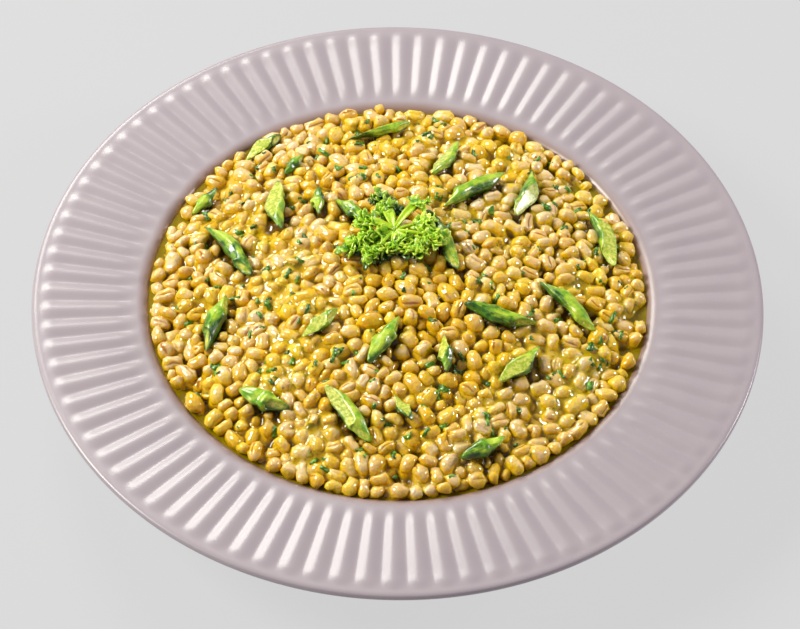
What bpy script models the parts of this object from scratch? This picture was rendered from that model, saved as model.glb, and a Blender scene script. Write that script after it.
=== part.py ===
"""Barley risotto with asparagus and a sprig of curly parsley, heaped in a plate with a wide ribbed rim.

Metres, +Z up. The origin is on the table, under the middle of the plate. The plate is turned from one
profile and its rim carries convex ribs. The creamy sauce fills the well, the barley is heaped on it, the
asparagus pieces lie in beds pressed into the heap, and the parsley stands on top.
"""

import math
import random

import bmesh
import bpy
from mathutils import Matrix, Vector, geometry

# ---- Plate ---------------------------------------------------------------------------------------
RIM_RADIUS = 0.1500
LIP_HEIGHT = 0.0400
FOOT_RADIUS = 0.0710

RIBS = 90
RIB_STEPS = 4  # points across one rib
RIB_HEIGHT = 0.0019  # from the bottom of a groove to the crest of a rib
GROOVE_ROUND = 0.30  # 0 gives knife-sharp grooves, 1 an even wave
RIM_IN = (0.1063, 0.0363)  # where the sloping rim starts, and its height there
RIM_OUT = (0.1466, 0.0396)
RIB_FADE_IN = 0.0025
RIB_FADE_OUT = 0.0038

FULL = RIBS * RIB_STEPS
HALF = RIBS // 2

# ---- Food ----------------------------------------------------------------------------------------
GAP = 0.0004  # kept between two solids that touch

SAUCE_LEVEL = 0.0335
HEAP_BASE = SAUCE_LEVEL + 0.0003
HEAP_RADIUS = 0.1005
HEAP_EDGE_RISE = 0.0034  # how high the outermost barley stands over the sauce
HEAP_EDGE_STEEP = 30  # a power of the share of the radius: higher makes the edge steeper
HEAP_DOME = 0.0150  # how much higher the middle is
HEAP_DOME_FULL = 1.1  # a power: lower makes the dome fuller
HEAP_UNEVEN = 0.0012
HEAP_SWELLS = (0.023, 0.027)  # lengths along x and y over which the heap's swells turn by one radian

FOOT_MEAN = 0.0990  # mean radius of the heap's uneven foot
FOOT_WIDE = 0.0006  # depth of its three wide bulges
FOOT_FINE = 0.0004  # and of its eight fine ones

GRAINS = 524
GRAIN_FIELD = 0.0955  # radius that the grains' middles fill
GRAIN_RIDGE = 0.0017  # half the length of a grain's ridge
GRAIN_CROWN = 0.0013
GRAIN_GAP = 0.0018  # depth of the gaps between grains
GRAIN_JITTER = 0.22  # of the spacing
EDGE_GRAINS = 72
EDGE_OUT = 0.0005  # how far a grain at the foot stands out
EDGE_IN = 0.0008  # and how far the gap beside it goes in
EDGE_LEAN = 0.0012  # how far the tops of those grains lie inside the foot
UNDER_SPEAR = 0.0008  # barley this far inside an asparagus piece's outline doesn't show

GOLDEN_ANGLE = math.pi * (3 - math.sqrt(5))

# Asparagus pieces: x, y of the middle, the long axis in degrees from +X, length, diameter, bend in degrees.
SPEARS = (
    (-0.059, 0.076, 35, 0.021, 0.0060, 10),
    (-0.045, 0.061, 40, 0.014, 0.0055, 0),
    (-0.051, 0.035, -90, 0.031, 0.0085, -8),
    (-0.034, 0.036, 75, 0.015, 0.0060, 0),
    (-0.082, 0.043, 33, 0.016, 0.0060, 0),
    (-0.070, 0.013, -60, 0.036, 0.0075, 12),
    (-0.020, 0.030, -60, 0.020, 0.0065, 0),
    (-0.009, 0.083, 15, 0.029, 0.0065, 8),
    (0.019, 0.064, 55, 0.026, 0.0065, -10),
    (0.031, 0.044, 36, 0.036, 0.0075, 8),
    (0.053, 0.045, 66, 0.031, 0.0080, -12),
    (0.085, 0.025, -79, 0.030, 0.0075, 15),
    (0.018, 0.013, -72, 0.033, 0.0065, 6),
    (0.069, -0.014, -50, 0.031, 0.0065, 10),
    (0.041, -0.023, -19, 0.030, 0.0075, -8),
    (0.019, -0.043, 79, 0.018, 0.0070, 0),
    (-0.005, -0.038, 50, 0.025, 0.0075, 5),
    (-0.031, -0.029, 29, 0.019, 0.0065, 0),
    (-0.073, -0.025, 64, 0.027, 0.0080, 10),
    (-0.052, -0.063, -36, 0.021, 0.0085, 0),
    (-0.019, -0.070, -57, 0.030, 0.0080, 8),
    (0.049, -0.046, 33, 0.024, 0.0080, -6),
    (0.034, -0.083, 17, 0.020, 0.0075, 6),
    (0.003, -0.067, -81, 0.013, 0.0060, 0),
)
SPEAR_SIDES = 8
SPEAR_RINGS = 3
SPEAR_SLANT = 0.75  # how far a cut end leans, as a share of the diameter
SPEAR_TAPER = 0.16  # share of the radius lost at the ends
SPEAR_FLAT = 0.88  # height as a share of the diameter
SPEAR_SUNK = 0.30  # share of the diameter by which the axis lies above the heap's mean surface

# Chopped herbs: the largest flakes, stuck flat on the heap.
HERBS = 34
HERB_LENGTH = 0.0042
HERB_WIDTH = 0.0026
HERB_HEIGHT = 0.0018  # of a flake's top over the heap's mean surface
HERB_SKIRT = 0.0003  # how far a flake's steep side spreads
HERB_CLEAR = 0.7  # share of its length that stays free of grains round its middle
HERB_FIELD = 0.0900
HERB_SPACING = 0.0090

# Parsley: where its stem leaves the heap, and each leaf's place from there and radius.
SPRIG = (-0.002, 0.014)
LEAVES = (
    (-0.002, 0.012, 0.0062),
    (0.009, 0.014, 0.0052),
    (0.011, 0.003, 0.0062),
    (0.016, -0.003, 0.0058),
    (0.003, -0.010, 0.0062),
    (-0.009, -0.013, 0.0058),
    (-0.016, -0.006, 0.0064),
    (-0.011, 0.005, 0.0062),
    (-0.005, 0.020, 0.0052),
    (-0.004, -0.002, 0.0060),
)
LEAF_THICKNESS = 0.0010
LEAF_POINTS = 12
LEAF_NOTCH = 0.74
LEAF_WAVE = 0.0014
LEAF_LOW = 0.0038  # a leaf's middle over the heap's mean surface, where it lies on the barley
LEAF_HIGH = 0.0072  # and where it passes over an asparagus piece
LEAF_STEP = 0.0024  # by which every other leaf is higher
LEAF_TILT = (-0.10, 0.20)
STEM_HEIGHT = 0.0085
STEM_START = 0.0023  # over the heap's mean surface, clear of the grains' ridges
STEM_RADIUS = 0.0018
STALK_RADIUS = 0.0009
STALK_LOWEST = 0.0034  # where a stalk may leave the stem
STALK_HIGHEST = 0.0073
STALK_SHARE = 0.6  # of its leaf's height, within those two


def clear_scene():
    for obj in list(bpy.data.objects):
        bpy.data.objects.remove(obj)


def finish(name, colour, roughness, coat=0.0):
    """A plain Principled material."""
    material = bpy.data.materials.new(name)
    material.use_nodes = True
    shader = material.node_tree.nodes["Principled BSDF"]
    shader.inputs["Base Color"].default_value = (*colour, 1.0)
    shader.inputs["Roughness"].default_value = roughness
    shader.inputs["Metallic"].default_value = 0.0
    shader.inputs["Coat Weight"].default_value = coat
    return material


def solid_from(name, mesh_maker, material):
    """Makes an object of a bmesh, with its normals pointing out."""
    bmesh.ops.recalc_face_normals(mesh_maker, faces=mesh_maker.faces)
    if mesh_maker.calc_volume(signed=True) < 0:
        bmesh.ops.reverse_faces(mesh_maker, faces=mesh_maker.faces)
    mesh = bpy.data.meshes.new(name)
    mesh_maker.to_mesh(mesh)
    mesh_maker.free()
    obj = bpy.data.objects.new(name, mesh)
    bpy.context.scene.collection.objects.link(obj)
    mesh.materials.append(material)
    return obj


# ---- Turned shapes -------------------------------------------------------------------------------
def ring(maker, radius, height, count, lift=None):
    """A ring of vertices, or one vertex on the axis; lift adds a height by angle."""
    if radius == 0:
        return [maker.verts.new((0, 0, height))]
    turns = (2 * math.pi * i / count for i in range(count))
    return [
        maker.verts.new((radius * math.cos(a), radius * math.sin(a), height + (lift(a) if lift else 0)))
        for a in turns
    ]


def bridge(maker, one, other):
    """Joins two rings, of which one may have a whole number of times as many vertices, or only one."""
    coarse, fine = sorted((one, other), key=len)
    share = len(fine) // len(coarse)
    for i, corner in enumerate(coarse):
        stretch = [fine[(i * share + k) % len(fine)] for k in range(share + 1)]
        if len(coarse) == 1:
            for start, end in zip(fine, fine[1:] + fine[:1]):
                maker.faces.new((corner, start, end))
            return
        following = coarse[(i + 1) % len(coarse)]
        if share == 1:
            maker.faces.new((corner, stretch[0], stretch[1], following))
            continue
        middle = share // 2
        for start, end in zip(stretch[:middle], stretch[1:]):
            maker.faces.new((corner, start, end))
        maker.faces.new((corner, stretch[middle], following))
        for start, end in zip(stretch[middle:-1], stretch[middle + 1 :]):
            maker.faces.new((following, start, end))


def turned(name, rings, material):
    """A closed turned solid from (radius, height, count, lift) rings, from axis to axis."""
    maker = bmesh.new()
    loops = [ring(maker, *each) for each in rings]
    for one, other in zip(loops, loops[1:]):
        bridge(maker, one, other)
    return solid_from(name, maker, material)


def rim_height(radius):
    """The rim's even surface, on which the ribs stand."""
    share = (radius - RIM_IN[0]) / (RIM_OUT[0] - RIM_IN[0])
    return RIM_IN[1] + share * (RIM_OUT[1] - RIM_IN[1])


def rib_lift(angle):
    """Height of the ribs over the rim's even surface: rounded crests and narrower grooves."""
    wave = math.hypot(math.sin(angle * RIBS / 2), GROOVE_ROUND) - GROOVE_ROUND
    highest = math.hypot(1, GROOVE_ROUND) - GROOVE_ROUND
    return RIB_HEIGHT * (wave / highest - 0.5)


def make_plate(glaze):
    ribs_start = RIM_IN[0] + RIB_FADE_IN
    ribs_end = RIM_OUT[0] - RIB_FADE_OUT
    well = (
        (0, 0.0085, 1),
        (0.062, 0.0088, HALF),
        (0.077, 0.0100, HALF),
        (0.088, 0.0135, HALF),
        (0.096, 0.0200, RIBS),
        (0.1006, 0.0280, RIBS),
        (0.1024, 0.0340, RIBS),
        (0.1032, 0.0357, RIBS),
        (0.1046, 0.0362, RIBS),
    )
    rim = (
        (*RIM_IN, RIBS),
        (ribs_start, rim_height(ribs_start), FULL, rib_lift),
        (ribs_end, rim_height(ribs_end), FULL, rib_lift),
        (*RIM_OUT, RIBS),
        (RIM_RADIUS - 0.0018, LIP_HEIGHT, RIBS),
        (RIM_RADIUS - 0.0004, LIP_HEIGHT - 0.0007, RIBS),
        (RIM_RADIUS, LIP_HEIGHT - 0.0018, RIBS),
        (RIM_RADIUS - 0.0008, LIP_HEIGHT - 0.0034, RIBS),
    )
    underside = (
        (0.1462, 0.0353, HALF),
        (0.1080, 0.0320, HALF),
        (0.1062, 0.0300, HALF),
        (0.1012, 0.0180, HALF),
        (0.0925, 0.0098, HALF),
        (0.0800, 0.0055, HALF),
        (FOOT_RADIUS + 0.0020, 0.0042, HALF),
        (FOOT_RADIUS, 0, HALF),
        (FOOT_RADIUS - 0.0038, 0, HALF),
        (FOOT_RADIUS - 0.0054, 0.0032, HALF),
        (0, 0.0032, 1),
    )
    return turned("plate", well + rim + underside, glaze)


def make_sauce(cream):
    pool = (
        (0, 0.0090, 1),
        (0.0612, 0.0093, HALF),
        (0.0760, 0.0106, HALF),
        (0.0868, 0.0142, HALF),
        (0.0948, 0.0206, HALF),
        (0.0998, 0.0284, HALF),
        (0.1017, SAUCE_LEVEL, HALF),
        (0, SAUCE_LEVEL, 1),
    )
    return turned("sauce", pool, cream)


# ---- Barley --------------------------------------------------------------------------------------
def heap_height(x, y):
    """The heap's mean surface: steep at the edge, a low uneven dome inside it."""
    reach = min(math.hypot(x, y) / HEAP_RADIUS, 1)
    uneven = math.sin(x / HEAP_SWELLS[0] + 1.3) * math.cos(y / HEAP_SWELLS[1] - 0.4)
    dome = (HEAP_DOME + HEAP_UNEVEN * uneven) * (1 - reach**2) ** HEAP_DOME_FULL
    return HEAP_BASE + HEAP_EDGE_RISE * (1 - reach**HEAP_EDGE_STEEP) + dome


def edge_radius(angle):
    """The heap's uneven foot."""
    return FOOT_MEAN + FOOT_WIDE * math.sin(3 * angle + 0.7) + FOOT_FINE * math.sin(8 * angle)


def off_spear(x, y, spear):
    """How far a place lies outside an asparagus piece's outline, seen from above; negative inside it."""
    middle_x, middle_y, heading, length, diameter, _ = spear
    turn = math.radians(heading)
    east, north = x - middle_x, y - middle_y
    along = east * math.cos(turn) + north * math.sin(turn)
    across = north * math.cos(turn) - east * math.sin(turn)
    beyond = max(abs(along) - (length - diameter) / 2, 0)
    return math.hypot(beyond, across) - diameter / 2


def off_spears(x, y):
    return min(off_spear(x, y, spear) for spear in SPEARS)


def herb_places(draw):
    """Places and headings of the flakes, spread over the heap clear of the larger toppings."""
    places = []
    while len(places) < HERBS:
        radius = HERB_FIELD * math.sqrt(draw.random())
        angle = draw.uniform(0, 2 * math.pi)
        x, y = radius * math.cos(angle), radius * math.sin(angle)
        apart = all(math.hypot(x - a, y - b) > HERB_SPACING for a, b, _ in places)
        clear = off_spears(x, y) > HERB_LENGTH * 0.75
        clear = clear and math.hypot(x - SPRIG[0], y - SPRIG[1]) > HERB_SPACING
        if apart and clear:
            places.append((x, y, draw.uniform(0, math.pi)))
    return places


def herb_points(x, y, heading):
    """A lozenge-shaped flake raised over the heap: its top's corners and, just outside them, its foot's."""
    for reach, height in ((0, HERB_HEIGHT), (HERB_SKIRT, 0)):
        for quarter, half in enumerate((HERB_LENGTH, HERB_WIDTH, HERB_LENGTH, HERB_WIDTH)):
            angle = heading + quarter * math.pi / 2
            corner_x = x + (half / 2 + reach) * math.cos(angle)
            corner_y = y + (half / 2 + reach) * math.sin(angle)
            yield corner_x, corner_y, heap_height(corner_x, corner_y) + height


def grain_places(draw):
    """Even but irregular places, on a sunflower's spiral."""
    spacing = GRAIN_FIELD / math.sqrt(GRAINS)
    for i in range(GRAINS):
        radius = spacing * math.sqrt(i + 0.5)
        angle = i * GOLDEN_ANGLE
        jitter = Vector((draw.uniform(-1, 1), draw.uniform(-1, 1))) * spacing * GRAIN_JITTER
        yield Vector((radius * math.cos(angle), radius * math.sin(angle))) + jitter


def is_open(point, herbs):
    """Whether the barley shows here: not under an asparagus piece, nor at a flake."""
    x, y, _ = point
    under_spear = off_spears(x, y) < -UNDER_SPEAR
    at_flake = any(math.hypot(x - a, y - b) < HERB_LENGTH * HERB_CLEAR for a, b, _ in herbs)
    return not under_spear and not at_flake


def heap_points():
    """Points of the heap: its foot in order, then the tops of flakes and grains and the gaps between."""
    draw = random.Random(11)
    herbs = herb_places(draw)
    flakes = [point for herb in herbs for point in herb_points(*herb)]
    foot, shoulders = [], []
    for i in range(EDGE_GRAINS):
        for part, step in ((0, EDGE_OUT), (0.5, -EDGE_IN)):
            angle = 2 * math.pi * (i + part) / EDGE_GRAINS
            radius = edge_radius(angle) + step
            foot.append((radius * math.cos(angle), radius * math.sin(angle), HEAP_BASE))
        angle = 2 * math.pi * i / EDGE_GRAINS
        radius = edge_radius(angle) - EDGE_LEAN
        height = HEAP_BASE + HEAP_EDGE_RISE * draw.uniform(0.7, 1.1)
        shoulders.append((radius * math.cos(angle), radius * math.sin(angle), height))
    middles = list(grain_places(draw))
    ridges = []
    for middle in middles:
        heading = draw.uniform(0, math.pi)
        along = Vector((math.cos(heading), math.sin(heading))) * GRAIN_RIDGE
        for end in (middle + along, middle - along):
            crown = GRAIN_CROWN * draw.uniform(0.5, 1.4)
            ridges.append((end.x, end.y, heap_height(*end) + crown))
    _, _, between, *_ = geometry.delaunay_2d_cdt(middles, [], [], 0, 1e-6)
    gaps = []
    for corners in between:
        spot = sum((middles[i] for i in corners), Vector((0, 0))) / 3
        if spot.length < GRAIN_FIELD:
            gaps.append((spot.x, spot.y, heap_height(*spot) - GRAIN_GAP * draw.uniform(0.6, 1.1)))
    open_places = [point for point in ridges + gaps if is_open(point, herbs)]
    return foot, shoulders + flakes + open_places


def make_heap(grain):
    foot, inside = heap_points()
    points = foot + inside
    loop = [(i, (i + 1) % len(foot)) for i in range(len(foot))]
    flat = [Vector(point[:2]) for point in points]
    found, _, faces, origins, *_ = geometry.delaunay_2d_cdt(flat, loop, [], 1, 1e-6)
    maker = bmesh.new()
    verts = [maker.verts.new((*spot, points[origin[0]][2])) for spot, origin in zip(found, origins)]
    for face in faces:
        maker.faces.new([verts[i] for i in face])
    rim = [edge for edge in maker.edges if edge.is_boundary]
    bmesh.ops.edgeloop_fill(maker, edges=rim)
    bmesh.ops.triangulate(maker, faces=[face for face in maker.faces if len(face.verts) > 3])
    return solid_from("barley", maker, grain)


# ---- Asparagus -----------------------------------------------------------------------------------
def spear_frame(x, y, heading, length, diameter):
    """Places a piece on the heap: +X along it, tilted as the heap is there."""
    turn = math.radians(heading)
    half = Vector((math.cos(turn), math.sin(turn))) * length / 2
    rise = heap_height(x + half.x, y + half.y) - heap_height(x - half.x, y - half.y)
    pitch = -math.atan2(rise, length)
    height = heap_height(x, y) + SPEAR_SUNK * diameter
    return Matrix.Translation((x, y, height)) @ Matrix.Rotation(turn, 4, "Z") @ Matrix.Rotation(pitch, 4, "Y")


def spear_mesh(length, diameter, bend, grow=0.0):
    """A short, slightly bent stalk with both ends cut on the slant; grow fattens it all round."""
    maker = bmesh.new()
    loops = []
    sweep = math.radians(bend)
    for i in range(SPEAR_RINGS):
        share = 2 * i / (SPEAR_RINGS - 1) - 1
        along = share * (length / 2 - SPEAR_SLANT * diameter / 2 + grow)
        radius = diameter / 2 * (1 - SPEAR_TAPER * share**2) + grow
        sideways = length * sweep / 4 * (1 - share**2)
        loop = []
        for k in range(SPEAR_SIDES):
            angle = 2 * math.pi * (k + 0.5) / SPEAR_SIDES
            across, up = math.cos(angle), math.sin(angle)
            slant = SPEAR_SLANT * diameter / 2 * across * abs(share) ** 3
            loop.append(
                maker.verts.new((along + slant, across * radius + sideways, up * radius * SPEAR_FLAT))
            )
        loops.append(loop)
    for one, other in zip(loops, loops[1:]):
        bridge(maker, one, other)
    maker.faces.new(loops[0])
    maker.faces.new(loops[-1])
    return maker


def place_spear(name, spec, material, grow=0.0):
    x, y, heading, length, diameter, bend = spec
    piece = solid_from(name, spear_mesh(length, diameter, bend, grow), material)
    piece.matrix_world = spear_frame(x, y, heading, length, diameter)
    return piece


# ---- Parsley -------------------------------------------------------------------------------------
def leaf(name, phase, radius, material):
    """A frilled leaf: a thin wavy disc whose two faces are split into the same triangles."""
    maker = bmesh.new()
    edges = []
    for side in (1, -1):
        lift = side * LEAF_THICKNESS / 2
        centre = maker.verts.new((0, 0, lift))
        edge = []
        for k in range(LEAF_POINTS):
            angle = 2 * math.pi * k / LEAF_POINTS
            reach = radius * (1 if k % 2 else LEAF_NOTCH)
            height = LEAF_WAVE * math.sin(3 * angle + phase) + lift
            edge.append(maker.verts.new((reach * math.cos(angle), reach * math.sin(angle), height)))
        bridge(maker, [centre], edge)
        edges.append(edge)
    bridge(maker, *edges)
    bmesh.ops.triangulate(maker, faces=[face for face in maker.faces if len(face.verts) > 3])
    return solid_from(name, maker, material)


def stalk(name, start, end, radius, sides, material):
    """A straight stalk between two points."""
    maker = bmesh.new()
    length = (end - start).length
    bmesh.ops.create_cone(
        maker, cap_ends=True, segments=sides, radius1=radius, radius2=radius * 0.8, depth=length
    )
    turn = (end - start).to_track_quat("Z", "Y").to_matrix().to_4x4()
    maker.transform(Matrix.Translation((start + end) / 2) @ turn)
    return solid_from(name, maker, material)


def leaf_places():
    """The middle of each leaf: low where it clears the asparagus, every other one a step higher."""
    for number, (east, north, radius) in enumerate(LEAVES):
        x, y = SPRIG[0] + east, SPRIG[1] + north
        lift = LEAF_LOW if off_spears(x, y) > radius else LEAF_HIGH
        yield Vector((x, y, heap_height(x, y) + lift + number % 2 * LEAF_STEP)), radius


def make_parsley(green):
    """A short upright stem, and on it stalks that each carry a tilted frilled leaf."""
    draw = random.Random(5)
    foot = Vector((*SPRIG, heap_height(*SPRIG)))
    top = foot + Vector((0, 0, STEM_HEIGHT))
    stem = stalk("sprig_stem", foot + Vector((0, 0, STEM_START)), top, STEM_RADIUS, 6, green)
    parts = []
    for number, (place, radius) in enumerate(leaf_places()):
        blade = leaf(f"sprig_leaf_{number}", draw.uniform(0, 2 * math.pi), radius, green)
        outward = (place - foot) * Vector((1, 1, 0))
        tilt = Matrix.Rotation(draw.uniform(*LEAF_TILT), 4, outward.cross(Vector((0, 0, 1))))
        blade.data.transform(Matrix.Translation(place) @ tilt)
        low = min(max(STALK_SHARE * (place.z - foot.z), STALK_LOWEST), STALK_HIGHEST)
        start = foot + Vector((0, 0, low)) + outward.normalized() * STEM_RADIUS / 2
        parts.append(blade)
        parts.append(stalk(f"sprig_stalk_{number}", start, place, STALK_RADIUS, 4, green))
    combine(stem, parts, "UNION")
    stem.name = stem.data.name = "parsley"


# ---- Joining and cutting -------------------------------------------------------------------------
def combine(target, others, operation):
    """One Boolean on a collection of other objects, applied, with those objects then removed."""
    group = bpy.data.collections.new("others")
    for other in others:
        group.objects.link(other)
    bpy.context.view_layer.update()
    modifier = target.modifiers.new("combine", "BOOLEAN")
    modifier.operation = operation
    modifier.operand_type = "COLLECTION"
    modifier.collection = group
    modifier.solver = "MANIFOLD"
    graph = bpy.context.evaluated_depsgraph_get()
    made = bpy.data.meshes.new_from_object(target.evaluated_get(graph), depsgraph=graph)
    target.modifiers.clear()
    target.data = made
    for other in others:
        bpy.data.objects.remove(other)
    bpy.data.collections.remove(group)
    drop_scraps(target)


def drop_scraps(target):
    """Keeps the largest connected piece of a mesh."""
    maker = bmesh.new()
    maker.from_mesh(target.data)
    left = set(maker.verts)
    pieces = []
    while left:
        piece, edge = set(), [next(iter(left))]
        while edge:
            vert = edge.pop()
            if vert in piece:
                continue
            piece.add(vert)
            edge.extend(link.other_vert(vert) for link in vert.link_edges)
        left -= piece
        pieces.append(piece)
    largest = max(pieces, key=len)
    bmesh.ops.delete(maker, geom=[v for v in maker.verts if v not in largest], context="VERTS")
    maker.to_mesh(target.data)
    maker.free()


def main():
    clear_scene()
    glaze = finish("glaze", (0.62, 0.56, 0.57), 0.30, 0.4)
    cream = finish("sauce", (0.42, 0.34, 0.05), 0.25, 0.5)
    grain = finish("barley", (0.78, 0.58, 0.22), 0.35, 0.4)
    stalk_green = finish("asparagus", (0.14, 0.30, 0.03), 0.30, 0.4)
    leaf_green = finish("parsley", (0.10, 0.36, 0.02), 0.45)

    make_plate(glaze)
    make_sauce(cream)
    heap = make_heap(grain)

    beds = [place_spear(f"bed_{i}", spec, grain, GAP) for i, spec in enumerate(SPEARS)]
    combine(heap, beds, "DIFFERENCE")
    for number, spec in enumerate(SPEARS, 1):
        place_spear(f"asparagus_{number:02d}", spec, stalk_green)
    make_parsley(leaf_green)

    for obj in bpy.context.scene.collection.objects:
        obj.data.shade_smooth()
        obj.data.set_sharp_from_angle(angle=math.radians(40))


main()
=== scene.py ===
# %% [markdown]
# # Barley risotto on a ribbed plate
# A wide plate with a ribbed rim holds a low heap of cooked pearl barley in a creamy yellow-green sauce.
# Pieces of green asparagus lie in the heap, chopped herbs are scattered over it, and a sprig of curly
# parsley stands in the middle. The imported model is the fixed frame: it says where the plate stands, how
# high the heap is and where each asparagus piece lies. Every piece made here fits that frame.

# %% Load the frame
import math
import random

import bmesh
import bpy
import numpy as np
from mathutils import Matrix, Quaternion, Vector
from mathutils.bvhtree import BVHTree


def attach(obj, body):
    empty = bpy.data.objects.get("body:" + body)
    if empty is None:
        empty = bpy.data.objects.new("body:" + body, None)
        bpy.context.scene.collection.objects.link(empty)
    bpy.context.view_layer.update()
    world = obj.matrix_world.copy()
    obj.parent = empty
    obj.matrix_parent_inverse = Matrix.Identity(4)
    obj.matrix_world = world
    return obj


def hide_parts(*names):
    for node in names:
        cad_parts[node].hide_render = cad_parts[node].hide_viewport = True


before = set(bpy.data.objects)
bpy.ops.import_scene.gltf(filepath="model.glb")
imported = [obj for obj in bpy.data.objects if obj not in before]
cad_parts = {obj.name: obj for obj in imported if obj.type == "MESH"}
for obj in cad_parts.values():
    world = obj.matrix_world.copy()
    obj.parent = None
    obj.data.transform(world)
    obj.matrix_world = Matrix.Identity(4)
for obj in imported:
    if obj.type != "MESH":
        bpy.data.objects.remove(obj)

MM = 0.001
TURN = 2 * math.pi
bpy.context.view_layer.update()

# %% [markdown]
# ## Nodes written as Python
# Shader and geometry nodes are easier to read as sums than as lists of links. A Wire stands for one
# output of a node. Adding or multiplying wires adds Math nodes, and every other node comes from
# Graph.add, which takes the node's type, its settings and the values or wires of its sockets.


# %% A wire and a graph
def reckoned(operation, swapped=False):
    """A method of Wire: one of Python's signs as a Math node."""

    def method(self, other):
        pair = (other, self) if swapped else (self, other)
        return self.graph.maths(operation, *pair)

    return method


class Wire:
    """One output of a node, which can be calculated with."""

    def __init__(self, graph, socket):
        self.graph = graph
        self.socket = socket

    __add__ = __radd__ = reckoned("ADD")
    __mul__ = __rmul__ = reckoned("MULTIPLY")
    __sub__ = reckoned("SUBTRACT")
    __rsub__ = reckoned("SUBTRACT", swapped=True)
    __truediv__ = reckoned("DIVIDE")


class Graph:
    """A node tree, of shaders or of geometry."""

    def __init__(self, tree):
        self.tree = tree

    def add(self, kind, settings=None, inputs=None, output=0):
        """Makes a node: its settings first, then its sockets, and returns one of its outputs."""
        node = self.tree.nodes.new(kind)
        for name, value in (settings or {}).items():
            setattr(node, name, value)
        for name, value in (inputs or {}).items():
            self.plug(value, node.inputs[name])
        return Wire(self, node.outputs[output])

    def plug(self, value, socket):
        if isinstance(value, Wire):
            self.tree.links.new(value.socket, socket)
        else:
            socket.default_value = value

    def maths(self, operation, *values):
        return self.add("ShaderNodeMath", {"operation": operation}, dict(enumerate(values)))

    def vector(self, operation, *values, output=0):
        return self.add("ShaderNodeVectorMath", {"operation": operation}, dict(enumerate(values)), output)

    def part(self, vector, axis):
        """The X, Y or Z of a vector."""
        return self.add("ShaderNodeSeparateXYZ", None, {0: vector}, output=axis)

    def from_axis(self, place):
        """How far a place lies from the upright axis through the origin."""
        return self.vector("LENGTH", self.vector("MULTIPLY", place, (1, 1, 0)), output="Value")

    def between(self, value, low, high):
        """0 where value is low or less, 1 where it is high or more, and smooth between."""
        return self.add(
            "ShaderNodeMapRange",
            {"interpolation_type": "SMOOTHSTEP"},
            {"Value": value, "From Min": low, "From Max": high},
        )


print("graph helper ready")


# %% A finish
def shade(red, green, blue):
    """A colour as seen on screen, 0 to 255, made linear for Blender."""
    linear = [((c / 255 + 0.055) / 1.055) ** 2.4 if c > 10 else c / 255 / 12.92 for c in (red, green, blue)]
    return (*linear, 1.0)


class Finish(Graph):
    """A material: what is the same all over is set on the shader, and feed() links what varies."""

    def __init__(self, name, constants):
        self.name = name
        self.material = bpy.data.materials.new(name)
        self.material.use_nodes = True
        super().__init__(self.material.node_tree)
        self.shader = self.tree.nodes["Principled BSDF"]
        for socket, value in constants.items():
            self.shader.inputs[socket].default_value = value
        self.place = self.add("ShaderNodeTexCoord", output="Object")

    def noise(self, size, detail=2.0, roughness=0.5):
        """Soft noise whose blotches are about this size, in metres."""
        sockets = {"Vector": self.place, "Scale": 1 / size, "Detail": detail, "Roughness": roughness}
        return self.add("ShaderNodeTexNoise", None, sockets)

    def attribute(self, name):
        return self.add("ShaderNodeAttribute", {"attribute_name": name}, output="Fac")

    def mix(self, factor, one, other):
        """One colour where factor is 0, the other where it is 1."""
        return self.add("ShaderNodeMix", {"data_type": "RGBA"}, {0: factor, 6: one, 7: other}, output=2)

    def facing_up(self):
        """1 where the surface faces up, 0 where it stands upright."""
        return self.part(self.add("ShaderNodeNewGeometry", output="Normal"), "Z")

    def feed(self, socket, wire):
        self.plug(wire, self.shader.inputs[socket])

    def bump(self, height, distance):
        sockets = {"Height": height, "Distance": distance, "Strength": 1.0}
        self.feed("Normal", self.add("ShaderNodeBump", None, sockets))


def soft_inside(weight, radius, scale):
    """Sockets for light that enters a food and comes out again, by how far red, green and blue go."""
    return {"Subsurface Weight": weight, "Subsurface Radius": radius, "Subsurface Scale": scale}


def describe(finish):
    print(f"finish of {finish.name}: {len(finish.tree.nodes)} nodes")


print("finish helpers ready")

# %% A geometry tree
SOCKET_KINDS = (
    (int, "NodeSocketInt"),
    (float, "NodeSocketFloat"),
    (bpy.types.Object, "NodeSocketObject"),
    (bpy.types.Material, "NodeSocketMaterial"),
)


def plain_mesh(piece):
    """The mesh that a piece's modifiers make of it."""
    graph = bpy.context.evaluated_depsgraph_get()
    return bpy.data.meshes.new_from_object(piece.evaluated_get(graph), depsgraph=graph)


class GeometryTree(Graph):
    """A Geometry Nodes tree with named inputs, which makes a plain mesh of an object."""

    def __init__(self, name, sizes):
        tree = bpy.data.node_groups.new(name, "GeometryNodeTree")
        super().__init__(tree)
        self.sizes = sizes
        self.sockets = {}
        tree.interface.new_socket("Geometry", in_out="INPUT", socket_type="NodeSocketGeometry")
        tree.interface.new_socket("Geometry", in_out="OUTPUT", socket_type="NodeSocketGeometry")
        for socket, value in sizes.items():
            kind = next(kind for value_type, kind in SOCKET_KINDS if isinstance(value, value_type))
            self.sockets[socket] = tree.interface.new_socket(socket, in_out="INPUT", socket_type=kind)
        self.entry = tree.nodes.new("NodeGroupInput")
        self.exit = tree.nodes.new("NodeGroupOutput")

    def given(self, name):
        """An input of the tree, or its geometry."""
        return Wire(self, self.entry.outputs[name])

    def stored(self, label, data_type):
        """The values stored under a label on the points."""
        sockets = {"Name": label}
        return self.add("GeometryNodeInputNamedAttribute", {"data_type": data_type}, sockets, "Attribute")

    def end(self, geometry):
        self.plug(geometry, self.exit.inputs[0])

    def make(self, target):
        """Runs the tree on an object, whose mesh it replaces with the plain result."""
        modifier = target.modifiers.new("tree", "NODES")
        modifier.node_group = self.tree
        for name, socket in self.sockets.items():
            modifier[socket.identifier] = self.sizes[name]
        made = plain_mesh(target)
        target.modifiers.remove(modifier)
        target.data = made


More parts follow.
